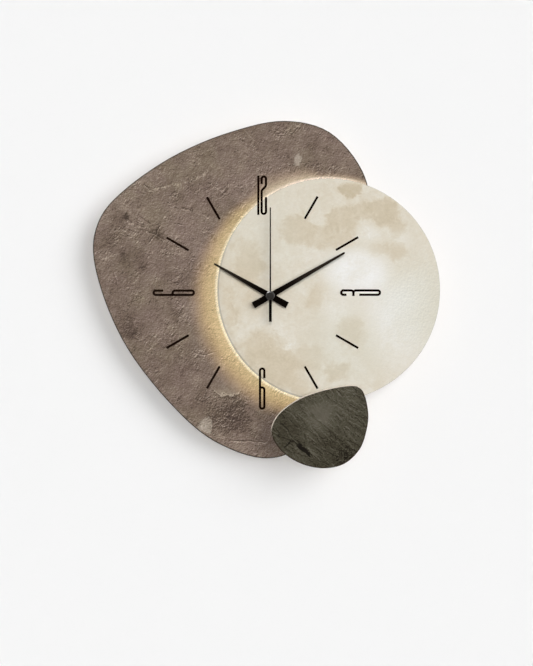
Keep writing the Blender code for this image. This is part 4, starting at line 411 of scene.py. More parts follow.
# Cracks and ridges of the plaster: start, end and width of each
STONE_CRACKS = (
    ((-44.0, -167.0), (-4.0, -168.5), 1.1), ((-134.0, 72.0), (-122.0, 63.0), 1.1),
    ((-133.0, 71.0), (-145.0, 75.0), 1.0), ((-133.0, 70.0), (-127.0, 81.0), 0.9),
    ((-134.0, 70.0), (-141.0, 61.0), 0.9), ((-168.0, 90.0), (-158.0, 83.0), 1.5),
    ((-166.0, 86.0), (-157.0, 74.0), 0.9), ((-103.0, 101.5), (-91.0, 97.5), 1.1),
    ((-110.0, 83.0), (-101.0, 81.0), 0.9), ((-77.0, 95.0), (-70.0, 90.0), 1.7),
    ((-181.0, 27.0), (-177.0, 14.0), 1.3), ((-70.0, 132.0), (-60.0, 121.0), 1.0),
    ((-91.0, -64.0), (-76.0, -68.0), 1.2), ((-77.0, -68.0), (-64.0, -66.0), 1.1),
    ((-113.0, -15.0), (-106.0, -26.0), 1.6), ((-148.0, 128.0), (-137.0, 122.0), 1.2))
STONE_RIDGES = (((-146.0, 119.0), (-104.0, 130.0), 2.2), ((-106.0, 128.0), (-76.0, 140.0), 1.8),
                ((-78.0, 138.0), (-68.0, 152.0), 1.8))


def cracked(finish, face, waver):
    """Fine cracks of the plaster: shade on the upper side of each and light on its lower side."""
    lower_right = beside(face)
    depths = []
    for start, end, width in STONE_CRACKS:
        shaded, lit = (finish.line(side, start, end, width, waver) for side in (face, lower_right))
        depths.append(lit - shaded)
    return total(depths)


def stone_print():
    """Printed brown plaster: clouds, struck flakes and scratches, a ledge, pale chips, cracks and pits."""
    finish = Finish("stone_print")
    face = finish.face()
    clouds = finish.noise(46.0, 4.0, 0.55, 0.5, shift=0.31)
    patches = finish.noise(13.0, 4.0, 0.60, 0.8, shift=0.12)
    mottle = finish.noise(4.0, 4.0, 0.64, 0.4)
    waver = (patches - 0.5) * 24.0
    tone = 0.50 + 0.42 * (clouds - 0.5) + 0.40 * (patches - 0.5) + 0.34 * (mottle - 0.5)
    for across, up, radius, edge, shade in BOARD_SHADES:
        tone = tone + shade * finish.spot(face, (across, up), radius, edge, waver)

    busy = finish.noise(24.0, 4.0, 0.6, shift=0.55).rise(0.50, 0.60)
    broken = finish.spot(face, (-48.0, -138.0), 24.0, 12.0, waver)
    grain = finish.struck(1.5, 2.0, 0.2, shift=0.07)
    scratches = finish.struck((9.0, 3.0, 2.2), 3.0, 0.8, turn=30.0, shift=0.77)
    combed = finish.struck((9.0, 3.0, 2.0), 3.0, 0.8, turn=-48.0, shift=0.41)
    flakes = finish.struck(10.0, 6.0, 0.8, shift=0.23, plateau=(0.50, 0.53))
    crumbs = finish.struck(3.4, 4.0, 0.6, shift=0.91, plateau=(0.48, 0.56))
    relief = (0.70 + 0.5 * broken) * grain + (0.22 + 0.65 * busy) * (scratches + combed)
    relief = relief + (0.09 + 0.20 * busy) * flakes + (0.06 * busy + 0.32 * broken) * crumbs
    specks = finish.cells(3.4, shift=0.13).rise(0.24, 0.10)
    specks = specks * finish.noise(9.0, 3.0, shift=0.27).rise(0.50, 0.62)
    checks = (finish.noise(15.0, 5.0, 0.62, 1.2, shift=0.84) - 0.5).math("ABSOLUTE").rise(0.014, 0.004)
    checks = checks * finish.noise(12.0, 2.0, shift=0.59).rise(0.50, 0.58)
    relief = relief + (0.08 + 0.26 * broken) * specks - 0.30 * checks

    ledge_edge = (finish.noise(7.0, 4.0, 0.6, shift=0.8) - 0.5) * 15.0
    ledge = finish.spot(face, (-48.0, -90.0), 26.0, 0.5, ledge_edge)
    below = finish.spot(face, (-49.0, -112.0), 18.0, 8.0)
    rim_light = ledge - finish.spot(face, (-48.0, -90.0), 24.4, 0.5, ledge_edge)
    rim_shade = finish.spot(face, (-48.0, -90.0), 28.4, 1.0, ledge_edge) - ledge
    relief = relief * (1.0 - 0.6 * below * ledge) + below * (0.30 * rim_light - 0.22 * rim_shade)
    tone = tone + 0.08 * ledge * below

    chip_edge = (mottle - 0.5) * 18.0 + (patches - 0.5) * 12.0
    chip = finish.spot(face, (-75.5, -150.0), 7.6, 0.9, chip_edge, 0.85)
    chip_aside = finish.spot(beside(face), (-75.5, -150.0), 7.6, 0.9, chip_edge, 0.85)
    small_chip = finish.spot(face, (32.0, 157.0), 3.9, 1.2, chip_edge * 0.5, 0.55)
    relief = relief + 0.40 * (chip_aside - chip) + 0.12 * chip * (patches - 0.3)

    bend = (patches - 0.5) * 7.0 + (mottle - 0.5) * 3.0
    cracks = cracked(finish, face, bend)
    ridge = total(finish.line(face, start, end, width, bend) for start, end, width in STONE_RIDGES)
    arc_line = finish.line(face, (-30.0, 191.0), (-12.0, 172.0), 0.8, bend * 0.5)
    seam = finish.line(face, (-152.0, 93.0), (-138.0, 84.0), 1.0, bend)
    star = finish.spot(face, (-131.0, 71.0), 6.0, 5.0, (mottle - 0.5) * 22.0)
    star = star + finish.spot(face, (-165.0, 92.0), 3.0, 3.0, (mottle - 0.5) * 16.0)
    pits = finish.cells(6.0).rise(0.15, 0.07) * finish.noise(13.0, 2.0, shift=0.2).rise(0.50, 0.60)
    relief = relief + 0.38 * cracks + 0.28 * ridge * mottle.rise(0.42, 0.60) + 0.18 * arc_line
    relief = relief - 0.20 * seam - 0.34 * star - 0.28 * pits

    tone = tone + relief
    stone = finish.ramp(tone, (0.0, (0.036, 0.022, 0.014)), (0.25, (0.092, 0.063, 0.045)),
                        (0.50, (0.178, 0.131, 0.101)), (0.75, (0.290, 0.232, 0.186)),
                        (1.0, (0.47, 0.40, 0.33)))
    hue = finish.ramp(finish.noise(40.0, 4.0, 0.6, shift=0.63), (0.32, (0.98, 0.98, 0.88)),
                      (0.50, (1.00, 0.970, 0.940)), (0.68, (1.02, 0.965, 0.985)))
    stone = finish.mix(1.0, stone, hue, "MULTIPLY")
    pale = finish.mix(tone + 1.2 * (mottle - 0.5), (0.215, 0.172, 0.130), (0.600, 0.520, 0.430))
    stone = finish.mix(0.85 * chip + 0.85 * small_chip, stone, pale)
    colour, front = finish.on_front(stone, (0.93, 0.98))
    # Painted glow of the hidden tape, as emission on the front of the board only.
    light = finish.mix(front, (0.0, 0.0, 0.0), painted_glow_on_board(finish, face, tone))
    return finish.close(Base_Color=colour, Roughness=0.62 + 0.12 * mottle, Specular_IOR_Level=0.12,
                        Normal=finish.relief(mottle, 0.08), Emission_Color=light, Emission_Strength=1.0)


# Plains: right, above, radius, flatness, soft edge and depth of each
MOON_PLAINS = (
    (33.0, 76.0, 19.0, 1.15, 4.0, 0.8), (54.0, 68.0, 16.0, 1.0, 4.0, 0.6),
    (84.0, 88.0, 17.0, 1.3, 4.0, 0.7), (108.0, 97.0, 14.0, 1.4, 4.0, 0.7),
    (131.0, 97.0, 17.0, 1.1, 4.5, 0.95), (93.0, 121.5, 13.0, 1.7, 2.5, 1.2),
    (84.0, 65.0, 14.0, 1.4, 4.0, 0.6), (145.0, 78.0, 10.0, 0.9, 4.0, 0.7),
    (145.0, 51.0, 9.0, 0.8, 4.0, 0.6), (126.0, 53.0, 9.0, 1.6, 4.0, 0.45),
    (52.0, 2.0, 10.0, 0.75, 9.0, 0.5), (93.0, -43.0, 16.0, 0.95, 4.0, 0.6),
    (92.0, -47.0, 11.0, 1.0, 4.0, 0.42), (77.0, -87.0, 14.0, 1.2, 4.0, 0.95),
    (-8.0, -62.0, 26.0, 1.1, 9.0, 0.86), (8.0, -85.0, 26.0, 1.3, 9.0, 0.82),
    (42.0, -72.0, 20.0, 1.5, 8.0, 0.5), (-27.0, 36.0, 18.0, 0.65, 6.0, 0.6),
    (-46.0, -24.0, 9.0, 0.4, 5.0, 0.6), (34.0, -103.0, 14.0, 1.2, 6.0, 0.52),
    (67.0, 121.0, 11.0, 1.2, 6.0, 0.3))
# White fields: right, above, radius, soft edge, flatness and share of each
MOON_WHITES = (
    (146.0, -40.0, 32.0, 20.0, 0.8, 0.55), (130.0, -5.0, 26.0, 18.0, 1.0, 0.45),
    (78.0, -15.0, 18.0, 14.0, 1.0, 0.40), (112.0, 71.0, 12.0, 8.0, 1.4, 0.40),
    (164.0, 5.0, 20.0, 14.0, 1.0, 0.38), (150.0, 65.0, 10.0, 8.0, 1.0, 0.25))


def moon_print():
    """Printed moon: pale ground, beige plains, a white field right of the middle, flecks and skin grain."""
    finish = Finish("moon_print")
    face = finish.face()
    across, up, away = about_moon(face)
    within = MOON_RADIUS * PER_METRE - away
    soft = finish.noise(34.0, 4.0, 0.56, 0.4, shift=0.21)
    wisps = finish.noise(11.0, 5.0, 0.60, 0.7, shift=0.48)
    speckle = finish.noise(3.4, 4.0, 0.60)
    waver = (soft - 0.5) * 18.0 + (wisps - 0.5) * 22.0 + (speckle - 0.5) * 5.0
    plains = 0.0
    for x, y, radius, flat, edge, depth in MOON_PLAINS:
        plains = (1.0 - plains) * depth * finish.spot(face, (x, y), radius, edge + 1.0, waver, flat) + plains
    white = finish.spot(face, (99.0, 28.0), 36.0, 18.0, waver * 1.3, 1.5)
    for x, y, radius, edge, flat, share in MOON_WHITES:
        white = white + share * finish.spot(face, (x, y), radius, edge, waver, flat)
    left = finish.spot(face, (-34.0, 20.0), 44.0, 26.0, waver)
    flecks = finish.noise(9.0, 5.0, 0.62, 1.0, shift=0.66).rise(0.56, 0.70)
    flecked = finish.spot(face, (12.0, -52.0), 20.0, 16.0) + finish.spot(face, (112.0, 62.0), 16.0, 14.0)
    tone = 0.46 + 0.30 * (soft - 0.5) + 0.34 * (wisps - 0.5) + 0.20 * (speckle - 0.5)
    tone = tone - 0.27 * plains + 0.32 * white + 0.18 * flecks * flecked - 0.10 * left
    cream = finish.ramp(tone, (0.08, (0.550, 0.468, 0.335)), (0.26, (0.630, 0.553, 0.425)),
                        (0.46, (0.695, 0.642, 0.535)), (0.60, (0.750, 0.714, 0.632)),
                        (0.90, (0.870, 0.867, 0.856)))
    skin_area = finish.spot(face, (178.0, -10.0), 46.0, 26.0)
    cool = 0.20 * finish.spot(face, (-10.0, 70.0), 40.0, 30.0, waver) + 0.42 * skin_area
    cool = cool + 0.30 * finish.spot(face, (84.0, -62.0), 40.0, 24.0, waver)
    cream = finish.mix(cool, cream, (0.665, 0.665, 0.575))
    skin = finish.struck(2.2, 3.0, 0.4, shift=0.5)
    brushed = finish.struck((9.0, 4.0, 3.0), 4.0, 0.6, turn=35.0, shift=0.37)
    shade = 1.0 + (0.10 + 0.28 * skin_area) * skin + 0.14 * brushed
    # Painted shade: a thin dark line and a faint darker band inside the moon's lower left rim.
    painted_rim_shade = within.rise(0.4, 0.9) * within.rise(2.2, 1.5)
    low_left = (across * -0.82 + up * -0.57) / (MOON_RADIUS * PER_METRE)
    shade = shade - (0.30 * painted_rim_shade + 0.06 * within.rise(10.0, 1.0)) * low_left.rise(0.25, 0.75)
    cream = finish.mix(1.0, cream, finish.grey(shade), "MULTIPLY")
    return finish.close(Base_Color=finish.on_front(cream)[0], Roughness=0.50, Specular_IOR_Level=0.10,
                        Normal=finish.relief(wisps, 0.03))


def slate_print():
    """Printed slate: dark grey-green with struck ledges, a smooth paler middle and one deep gouge."""
    finish = Finish("slate_print")
    face = finish.face()
    broad = finish.noise(22.0, 4.0, 0.55, 0.5, shift=0.15)
    broken = finish.noise((9.0, 4.0, 4.0), 5.0, 0.64, 0.9, turn=35.0)
    fine = finish.noise(2.6, 4.0, 0.62, 0.3)
    smooth = finish.spot(face, (57.0, -137.0), 14.0, 12.0, (broad - 0.5) * 24.0)
    left = finish.spot(face, (14.0, -150.0), 16.0, 18.0, (broad - 0.5) * 20.0)
    low_right = finish.spot(face, (88.0, -186.0), 12.0, 8.0, (broken - 0.5) * 20.0)
    combed = finish.struck((14.0, 4.0, 3.2), 4.0, 0.8, turn=40.0, shift=0.6, lit=0.6)
    crossed_grain = finish.struck((8.0, 4.0, 3.0), 4.0, 0.7, turn=-60.0, shift=0.06)
    ledges = finish.struck((18.0, 6.0, 7.0), 6.0, 0.8, turn=38.0, shift=0.33, plateau=(0.47, 0.51), lit=0.6)
    crumbs = finish.struck(3.8, 4.0, 0.6, shift=0.19, plateau=(0.44, 0.58))
    shelf_edge = (broken - 0.5) * 18.0 + (fine - 0.5) * 5.0
    gouge = finish.line(face, (29.0, -168.0), (49.0, -187.0), 4.0, shelf_edge * 0.5)
    gouge = (gouge * finish.spot(face, (39.0, -177.0), 10.0, 5.0, shelf_edge * 0.6)).rise(0.15, 0.95)
    gouge = gouge + 0.6 * finish.line(face, (17.0, -174.0), (24.0, -167.0), 1.2, shelf_edge * 0.3)
    gouge = gouge + 0.6 * finish.line(face, (24.0, -167.0), (35.0, -171.0), 1.4, shelf_edge * 0.3)
    lip = finish.line(face, (22.0, -172.0), (34.0, -176.0), 1.2, shelf_edge * 0.3)
    lip = lip + finish.line(face, (43.0, -174.0), (58.0, -190.0), 1.3, shelf_edge * 0.4)
    fold = finish.line(face, (46.0, -136.0), (72.0, -158.0), 1.2, shelf_edge * 0.5)
    relief = (1.0 - 0.80 * smooth) * (0.36 * combed + 0.26 * crossed_grain + 0.20 * ledges)
    relief = relief + (1.0 - 0.75 * smooth) * (0.12 + 0.30 * low_right) * crumbs
    relief = relief + 0.26 * lip - 0.72 * gouge - 0.22 * fold
    upper_right = finish.spot(face, (82.0, -120.0), 14.0, 10.0, (broad - 0.5) * 20.0)
    low = finish.spot(face, (70.0, -180.0), 24.0, 12.0, (broken - 0.5) * 16.0, 1.3)
    tone = 0.45 + 0.44 * (broad - 0.5) + 0.24 * (broken - 0.5) + 0.24 * (fine - 0.5) + 0.30 * smooth
    tone = tone + 0.09 * upper_right - 0.15 * left - 0.18 * low_right - 0.14 * low + relief
    slate = finish.ramp(tone, (0.0, (0.006, 0.004, 0.002)), (0.25, (0.037, 0.031, 0.019)),
                        (0.50, (0.073, 0.066, 0.045)), (0.75, (0.118, 0.106, 0.080)),
                        (1.0, (0.19, 0.175, 0.135)))
    height = 0.20 * broken + 0.12 * fine
    # Painted highlight along the pebble's upper left cut edge, with painted shade on its other cut edges.
    return finish.close(Base_Color=finish.on_front(slate, (0.93, 0.98), 1.0)[0], Roughness=0.64,
                        Specular_IOR_Level=0.03, Normal=finish.relief(height, 1.0))


def white_board():
    """White painted fibreboard with a faint roller texture."""
    finish = Finish("white_board")
    roller = finish.noise(1.6, 4.0, 0.6)
    cloud = finish.noise(40.0, 3.0)
    paint = finish.mix(cloud.rise(0.35, 0.7), (0.80, 0.79, 0.76), (0.76, 0.745, 0.71))
    return finish.close(Base_Color=paint, Roughness=0.55 + 0.1 * roller, Normal=finish.relief(roller, 0.08))


# Finishes of hands and small parts

def hand_paint():
    """Satin black paint on pressed aluminium, with a slight greyness towards the tips."""
    finish = Finish("hand_paint")
    reach = distance(*finish.face())
    grain = finish.noise(1.6, 4.0, 0.6)
    paint = finish.mix(reach.rise(12.0, 70.0), (0.0024, 0.0014, 0.0008), (0.024, 0.0180, 0.0130))
    return finish.close(Base_Color=paint, Roughness=0.40 + 0.10 * grain, Specular_IOR_Level=0.004,
                        Normal=finish.relief(grain, 0.02))


def cap_paint():
    """Dark grey satin paint on the cap, polished round its rim."""
    finish = Finish("cap_paint")
    rim = distance(*finish.face()).rise(4.0, 4.5)
    grain = finish.noise(0.8, 3.0, 0.6)
    paint = finish.mix(grain, (0.0115, 0.0095, 0.0082), (0.0175, 0.0148, 0.0130))
    return finish.close(Base_Color=paint, Roughness=0.30 + 0.10 * grain, Specular_IOR_Level=0.06,
                        Coat_Weight=rim, Coat_Roughness=0.26, Normal=finish.relief(grain, 0.02))


def black_ink():
    """Raised black ink of the hour marks."""
    finish = Finish("black_ink")
    grain = finish.noise(0.7, 3.0, 0.6)
    ink = finish.mix(grain, (0.0040, 0.0010, 0.0003), (0.0085, 0.0028, 0.0008))
    return finish.close(Base_Color=ink, Roughness=0.50 + 0.10 * grain, Specular_IOR_Level=0.002,
                        Normal=finish.relief(grain, 0.02))


def moulded(name, pale, dark, rough=0.48, texture=0.5, depth=0.05):
    """Moulded plastic with a fine spark-eroded texture and faint flow marks."""
    finish = Finish(name)
    spark = finish.noise(texture, 3.0, 0.7)
    flow = finish.noise((18.0, 18.0, 5.0), 3.0, 0.5, 1.2)
    colour = finish.mix(0.5 * spark + 0.5 * flow, dark, pale)
    return finish.close(Base_Color=colour, Roughness=rough + 0.12 * spark - 0.05 * flow,
                        Normal=finish.relief(spark, depth))


def metal(name, pale, dark, rough):
    """Drawn or turned metal with fine lines and a slight stain."""
    finish = Finish(name)
    lines = finish.noise((0.25, 8.0, 8.0), 3.0, 0.6)
    stain = finish.noise(6.0, 4.0, 0.6)
    colour = finish.mix(0.4 * lines + 0.6 * stain, dark, pale)
    return finish.close(Base_Color=colour, Metallic=1.0, Roughness=rough + 0.15 * lines + 0.08 * stain,
                        Normal=finish.relief(lines, 0.015))


def copper_winding():
    """Enamelled wire, wound side by side round the coil."""
    finish = Finish("copper_winding")
    bands = {"wave_type": "BANDS", "bands_direction": "X", "wave_profile": "SIN"}
    turns = finish.add("ShaderNodeTexWave", bands, {
        "Vector": finish.stretched(1.0), "Scale": 2.2, "Distortion": 0.35, "Detail": 2.0})
    enamel = finish.mix(turns, (0.22, 0.060, 0.018), (0.72, 0.26, 0.10))
    return finish.close(Base_Color=enamel, Metallic=1.0, Roughness=0.42 - 0.14 * turns,
                        Normal=finish.relief(turns, 0.06))


def circuit_green():
    """Circuit board: green lacquer over straight copper tracks, with tinned pads."""
    finish = Finish("circuit_green")
    tracks = finish.add("ShaderNodeTexBrick", {"offset": 0.5, "squash": 1.0}, {
        "Vector": finish.stretched(1.0), "Scale": 0.55, "Mortar Size": 0.045, "Mortar Smooth": 0.1,
        "Color1": (0.0, 0.0, 0.0), "Color2": (0.0, 0.0, 0.0), "Mortar": (1.0, 1.0, 1.0)}, out=1)
    pads = finish.cells(2.1, uneven=0.2).rise(0.24, 0.18)
    lacquer = finish.mix(0.75 * tracks, (0.010, 0.082, 0.034), (0.045, 0.190, 0.080))
    lacquer = finish.mix(pads, lacquer, (0.55, 0.54, 0.50))
    return finish.close(Base_Color=lacquer, Metallic=0.85 * pads, Roughness=0.34 - 0.06 * tracks,
                        Normal=finish.relief(tracks + pads, 0.05))


def tape_white():
    """Light tape: white backing and glowing warm chips at an even pitch round the moon's rim."""
    finish = Finish("tape_white")
    across, up = finish.face(MOON)
    chips = (up.math("ARCTAN2", across) * TAPE_CHIPS_ROUND_RIM).math("SINE").rise(0.72, 0.92)
    silk = finish.noise(0.9, 3.0)
    backing = finish.mix(silk, (0.78, 0.74, 0.64), (0.88, 0.84, 0.74))
    glow = finish.mix(chips, (0.32, 0.23, 0.10), (1.0, 0.76, 0.38))
    return finish.close(Base_Color=backing, Roughness=0.42, Emission_Color=glow, Emission_Strength=0.12,
                        Normal=finish.relief(silk, 0.03))


def cell_jacket():
    """Dry cell: black lacquered jacket with a copper-coloured shoulder and bare steel ends."""
    finish = Finish("cell_jacket")
    along = finish.face()[0]
    low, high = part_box("dry_cell")
    left, right = PER_METRE * (low.x - AXIS.x), PER_METRE * (high.x - AXIS.x)
    shoulder = along.rise(right - 16.2, right - 15.8)
    bare = along.rise(right - 1.75, right - 1.55) + along.rise(left + 0.55, left + 0.35)
    scuff = finish.noise((14.0, 2.0, 2.0), 5.0, 0.65)
    jacket = finish.mix(shoulder, (0.010, 0.010, 0.011), (0.56, 0.23, 0.075))
    jacket = finish.mix(bare, jacket, (0.60, 0.60, 0.60))
    jacket = finish.mix(0.10 * scuff.rise(0.5, 0.8), jacket, (0.30, 0.29, 0.28))
    return finish.close(Base_Color=jacket, Metallic=0.35 + 0.6 * bare, Roughness=0.26 + 0.20 * scuff,
                        Normal=finish.relief(scuff, 0.02))


def pouch_foil():
    """Aluminium laminate of the pouch cell, slightly creased."""
    finish = Finish("pouch_foil")
    crease = finish.noise(7.0, 5.0, 0.6, 1.6)
    foil = finish.mix(crease, (0.52, 0.53, 0.55), (0.74, 0.75, 0.77))
    return finish.close(Base_Color=foil, Metallic=0.9, Roughness=0.30 + 0.15 * crease,
                        Normal=finish.relief(crease, 0.35))


def rubber():
    """Soft rubber with a dusty bloom."""
    finish = Finish("rubber")
    bloom = finish.noise(2.2, 5.0, 0.65)
    colour = finish.mix(bloom, (0.014, 0.014, 0.014), (0.030, 0.030, 0.030))
    return finish.close(Base_Color=colour, Roughness=0.66 + 0.16 * bloom, Normal=finish.relief(bloom, 0.06))


def lamp_lens():
    """Clear resin lens with a green charge light in it."""
    finish = Finish("lamp_lens")
    haze = finish.noise(0.8, 3.0)
    resin = finish.mix(haze, (0.42, 0.62, 0.40), (0.62, 0.80, 0.58))
    return finish.close(Base_Color=resin, Roughness=0.22 + 0.1 * haze, Emission_Color=(0.10, 0.55, 0.12),
                        Emission_Strength=0.35, Normal=finish.relief(haze, 0.02))


FINISHES = {
    "stone_print": stone_print(),
    "moon_print": moon_print(),
    "slate_print": slate_print(),
    "white_board": white_board(),
    "hand_paint": hand_paint(),
    "cap_paint": cap_paint(),
    "black_plastic": moulded("black_plastic", (0.030, 0.030, 0.031), (0.016, 0.016, 0.017)),
    "grey_plastic": moulded("grey_plastic", (0.36, 0.36, 0.35), (0.28, 0.28, 0.275), 0.44),
    "gear_plastic": moulded("gear_plastic", (0.80, 0.77, 0.68), (0.68, 0.65, 0.56), 0.38, 0.8, 0.02),
    "brass": metal("brass", (0.80, 0.60, 0.26), (0.60, 0.42, 0.16), 0.22),
    "steel": metal("steel", (0.66, 0.65, 0.62), (0.46, 0.45, 0.43), 0.28),
    "magnet": metal("magnet", (0.22, 0.21, 0.21), (0.13, 0.125, 0.12), 0.42),
    "copper_winding": copper_winding(),
    "circuit_green": circuit_green(),
    "tape_white": tape_white(),
    "rubber": rubber(),
    "cell_jacket": cell_jacket(),
    "pouch_foil": pouch_foil(),
    "lead_jacket": moulded("lead_jacket", (0.74, 0.73, 0.70), (0.62, 0.61, 0.58), 0.40, 1.2, 0.02),
    "lamp_lens": lamp_lens(),
}
SLOT_OF = {entry["node"]: entry["material_slot"] for entry in frame["record"]["subparts"]}
BODY_OF = {node: body for body, nodes in frame["record"]["behaviour"]["bodies"].items() for node in nodes}


# Pieces

def settle(piece, body, slot, finish=None):
    """Give a piece its finish, the one of its slot unless another is given, and its body."""
    piece.data.materials.clear()
    piece.data.materials.append(finish or FINISHES[slot])
    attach(piece, body)
    return piece


def new_piece(name, shape, angle=40.0):
    """Piece made from an edit mesh, smooth but for its sharp edges."""
    mesh = bpy.data.meshes.new(name)
    shape.normal_update()
    shape.to_mesh(mesh)
    shape.free()
    mesh.shade_smooth()
    mesh.set_sharp_from_angle(angle=math.radians(angle))
    piece = bpy.data.objects.new(name, mesh)
    bpy.context.scene.collection.objects.link(piece)
    return piece


def solid_of(node):
    """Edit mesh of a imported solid, with whole faces."""
    shape = bmesh.new()
    shape.from_mesh(frame["nodes"][node].data)
    bmesh.ops.remove_doubles(shape, verts=shape.verts, dist=WELD)
    bmesh.ops.dissolve_limit(shape, angle_limit=math.radians(FLAT), verts=shape.verts, edges=shape.edges)
    return shape


def tube(rings):
    """Closed edit mesh through rings of points, with a face at each end."""
    shape = bmesh.new()
    rings = [[shape.verts.new(point) for point in ring] for ring in rings]
    for near, far in zip(rings, rings[1:]):
        for i in range(len(near)):
            j = (i + 1) % len(near)
            shape.faces.new((near[i], near[j], far[j], far[i]))
    shape.faces.new(rings[0][::-1])
    shape.faces.new(rings[-1])
    bmesh.ops.recalc_face_normals(shape, faces=shape.faces)
    return shape


def cut_by(piece, cutter, operation="DIFFERENCE"):
    """Take a cutter away from a piece, or keep only what lies in the cutter."""
    cut = piece.modifiers.new(cutter.name, "BOOLEAN")
    cut.operation, cut.object = operation, cutter


def shown_shape(piece):
    """Mesh of a piece as its modifiers leave it."""
    bpy.context.view_layer.update()
    return bpy.data.meshes.new_from_object(piece.evaluated_get(bpy.context.evaluated_depsgraph_get()))


def stand_in(piece, node):
    """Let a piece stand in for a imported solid."""
    settle(piece, BODY_OF[node], SLOT_OF[node])
    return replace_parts(piece, node)


def softened(node, width, angle=40.0, held=True):
    """Stand-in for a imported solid, with its sharp outer edges rounded. Held ones spare short edges."""
    shape = solid_of(node)
    sharp = [edge for edge in shape.edges
             if edge.is_manifold and edge.is_convex and edge.calc_face_angle() > math.radians(angle)]
    bmesh.ops.bevel(shape, geom=sharp, offset=width, segments=2, profile=0.5, affect="EDGES",
                    clamp_overlap=held)
    piece = new_piece(node + "_finished", shape)
    flatter = piece.modifiers.new("flat_faces", "WEIGHTED_NORMAL")
    flatter.weight, flatter.keep_sharp = 100, True
    return stand_in(piece, node)


def polar(radius, bearing):
    """Point right of and above a centre, by its radius and bearing."""
    angle = math.radians(bearing)
    return radius * math.cos(angle), radius * math.sin(angle)


def arc(centre, radius, start, end, steps=ARC_STEPS):
    """Points along an arc."""
    points = []
    for i in range(steps + 1):
        across, up = polar(radius, start + (end - start) * i / steps)
        points.append((centre[0] + across, centre[1] + up))
    return points


# Hour marks

def digit_two():
    """Centre line of the two: hook, arch, slope to the left, loop and short tail."""
    r, edge = 0.5 * DIGIT_LOOP, 0.5 * INK_WIDTH
    arch, foot = TWELVE_HEIGHT - edge - r, edge + r
    top, bottom = TWELVE_HEIGHT - TWO_SHOULDER, TWELVE_HEIGHT - TWO_WAIST
    slope = []
    for i in range(ARC_STEPS + 1):
        t = i / ARC_STEPS
        slope.append((DIGIT_LOOP * (1.0 - t * t * (3.0 - 2.0 * t)), top + (bottom - top) * t))
    return ([(0.0, TWELVE_HEIGHT - TWO_HOOK)] + arc((r, arch), r, 180.0, 0.0) + slope
            + arc((r, foot), r, 180.0, 360.0) + [(DIGIT_LOOP, TWO_TAIL_HEIGHT)])


def digit_six():
    """Centre lines of the six: hook, arch, long left side and bowl, and the bowl's end."""
    r, edge = 0.5 * DIGIT_LOOP, 0.5 * INK_WIDTH
    bowl = SIX_BOWL_HEIGHT - edge - r
    return ([(DIGIT_LOOP, SIX_HEIGHT - SIX_HOOK)] + arc((r, SIX_HEIGHT - edge - r), r, 0.0, 180.0)
            + arc((r, edge + r), r, 180.0, 360.0) + arc((r, bowl), r, 0.0, 90.0, ARC_STEPS // 2)
            + [(0.4 * edge, bowl + r)])


def digit_three():
    """Centre lines of the three: upper bowl with the middle bar, and lower bowl."""
    r, edge = 0.5 * DIGIT_LOOP, 0.5 * INK_WIDTH
    waist = THREE_HEIGHT - THREE_UPPER_BOWL
    upper = ([(0.0, THREE_HEIGHT - THREE_HOOK)] + arc((r, THREE_HEIGHT - edge - r), r, 180.0, 0.0)
             + arc((DIGIT_LOOP - THREE_NOTCH, waist + THREE_NOTCH), THREE_NOTCH, 0.0, -90.0, 4)
             + [(-edge, waist)])
    lower = (arc((DIGIT_LOOP - THREE_NOTCH, waist - THREE_NOTCH), THREE_NOTCH, 90.0, 0.0, 4)
             + arc((r, edge + r), r, 0.0, -180.0) + [(0.0, waist - THREE_LOWER_END)])
    return upper, lower


def placed(path, offset, turn=0.0):
    """Path turned about its own origin and then moved."""
    cosine, sine = math.cos(math.radians(turn)), math.sin(math.radians(turn))
    return [(offset[0] + x * cosine - y * sine, offset[1] + x * sine + y * cosine) for x, y in path]


def mark_paths():
    """Centre lines of all the hour marks, right of and above the middle of the dial."""
    half = 0.5 * DIGIT_LOOP
    paths = []
    for hour in (1, 2, 4, 5, 7, 8, 10, 11):
        bearing = 90.0 - 30.0 * hour
        paths.append([polar(TICK_INNER_RADIUS, bearing), polar(TICK_OUTER_RADIUS, bearing)])
    twelve_foot = TWELVE_OUTER_RADIUS - TWELVE_HEIGHT
    one_x = -0.5 * (TWELVE_SPACING + DIGIT_LOOP)
    paths.append([(one_x, twelve_foot), (one_x, twelve_foot + TWELVE_HEIGHT)])
    paths.append(placed(digit_two(), (one_x + TWELVE_SPACING, twelve_foot)))
    paths.append(placed(digit_six(), (-half, -SIX_OUTER_RADIUS)))
    paths.append(placed(digit_six(), (SIX_HEIGHT - NINE_OUTER_RADIUS, -half), 90.0))
    for part in digit_three():
        paths.append(placed(part, (THREE_OUTER_RADIUS, -half), 90.0))
    return paths


def ink_line(path, front):
    """Closed edit mesh of one raised ink line that stands on a face."""
    spots = [Vector(spot) for spot in path]
    spots = [spot for i, spot in enumerate(spots)
             if i == 0 or (spot - spots[i - 1]).length > INK_SHORTEST_STEP]
    rows = []
    for i, spot in enumerate(spots):
        before = (spot - spots[max(i - 1, 0)]).normalized()
        after = (spots[min(i + 1, len(spots) - 1)] - spot).normalized()
        along = (before + after).normalized()
        reach = 0.5 * INK_WIDTH / max(INK_MITRE, along.dot(after if after.length else before))
        side = Vector((-along.y, along.x)) * reach
        corners = ((side, 0.0), (side, INK_HEIGHT), (-side, INK_HEIGHT), (-side, 0.0))
        rows.append([(DIAL.x + spot.x + flank.x, front - INK_LIFT - rise, DIAL.z + spot.y + flank.y)
                     for flank, rise in corners])
    return tube(rows)


def rim_cutter():
    """Long cylinder through the boards, nearly as wide as the moon."""
    radius = MOON_RADIUS - INK_RIM_GAP
    shape = bmesh.new()
    bmesh.ops.create_cone(shape, cap_ends=True, segments=256, radius1=radius, radius2=radius,
                          depth=RIM_CUTTER_LENGTH)
    bmesh.ops.rotate(shape, verts=shape.verts, matrix=Matrix.Rotation(math.radians(90.0), 3, "X"))
    bmesh.ops.translate(shape, verts=shape.verts, vec=(MOON.x, RIM_CUTTER_MIDDLE, MOON.z))
    return new_piece("rim_cutter", shape)


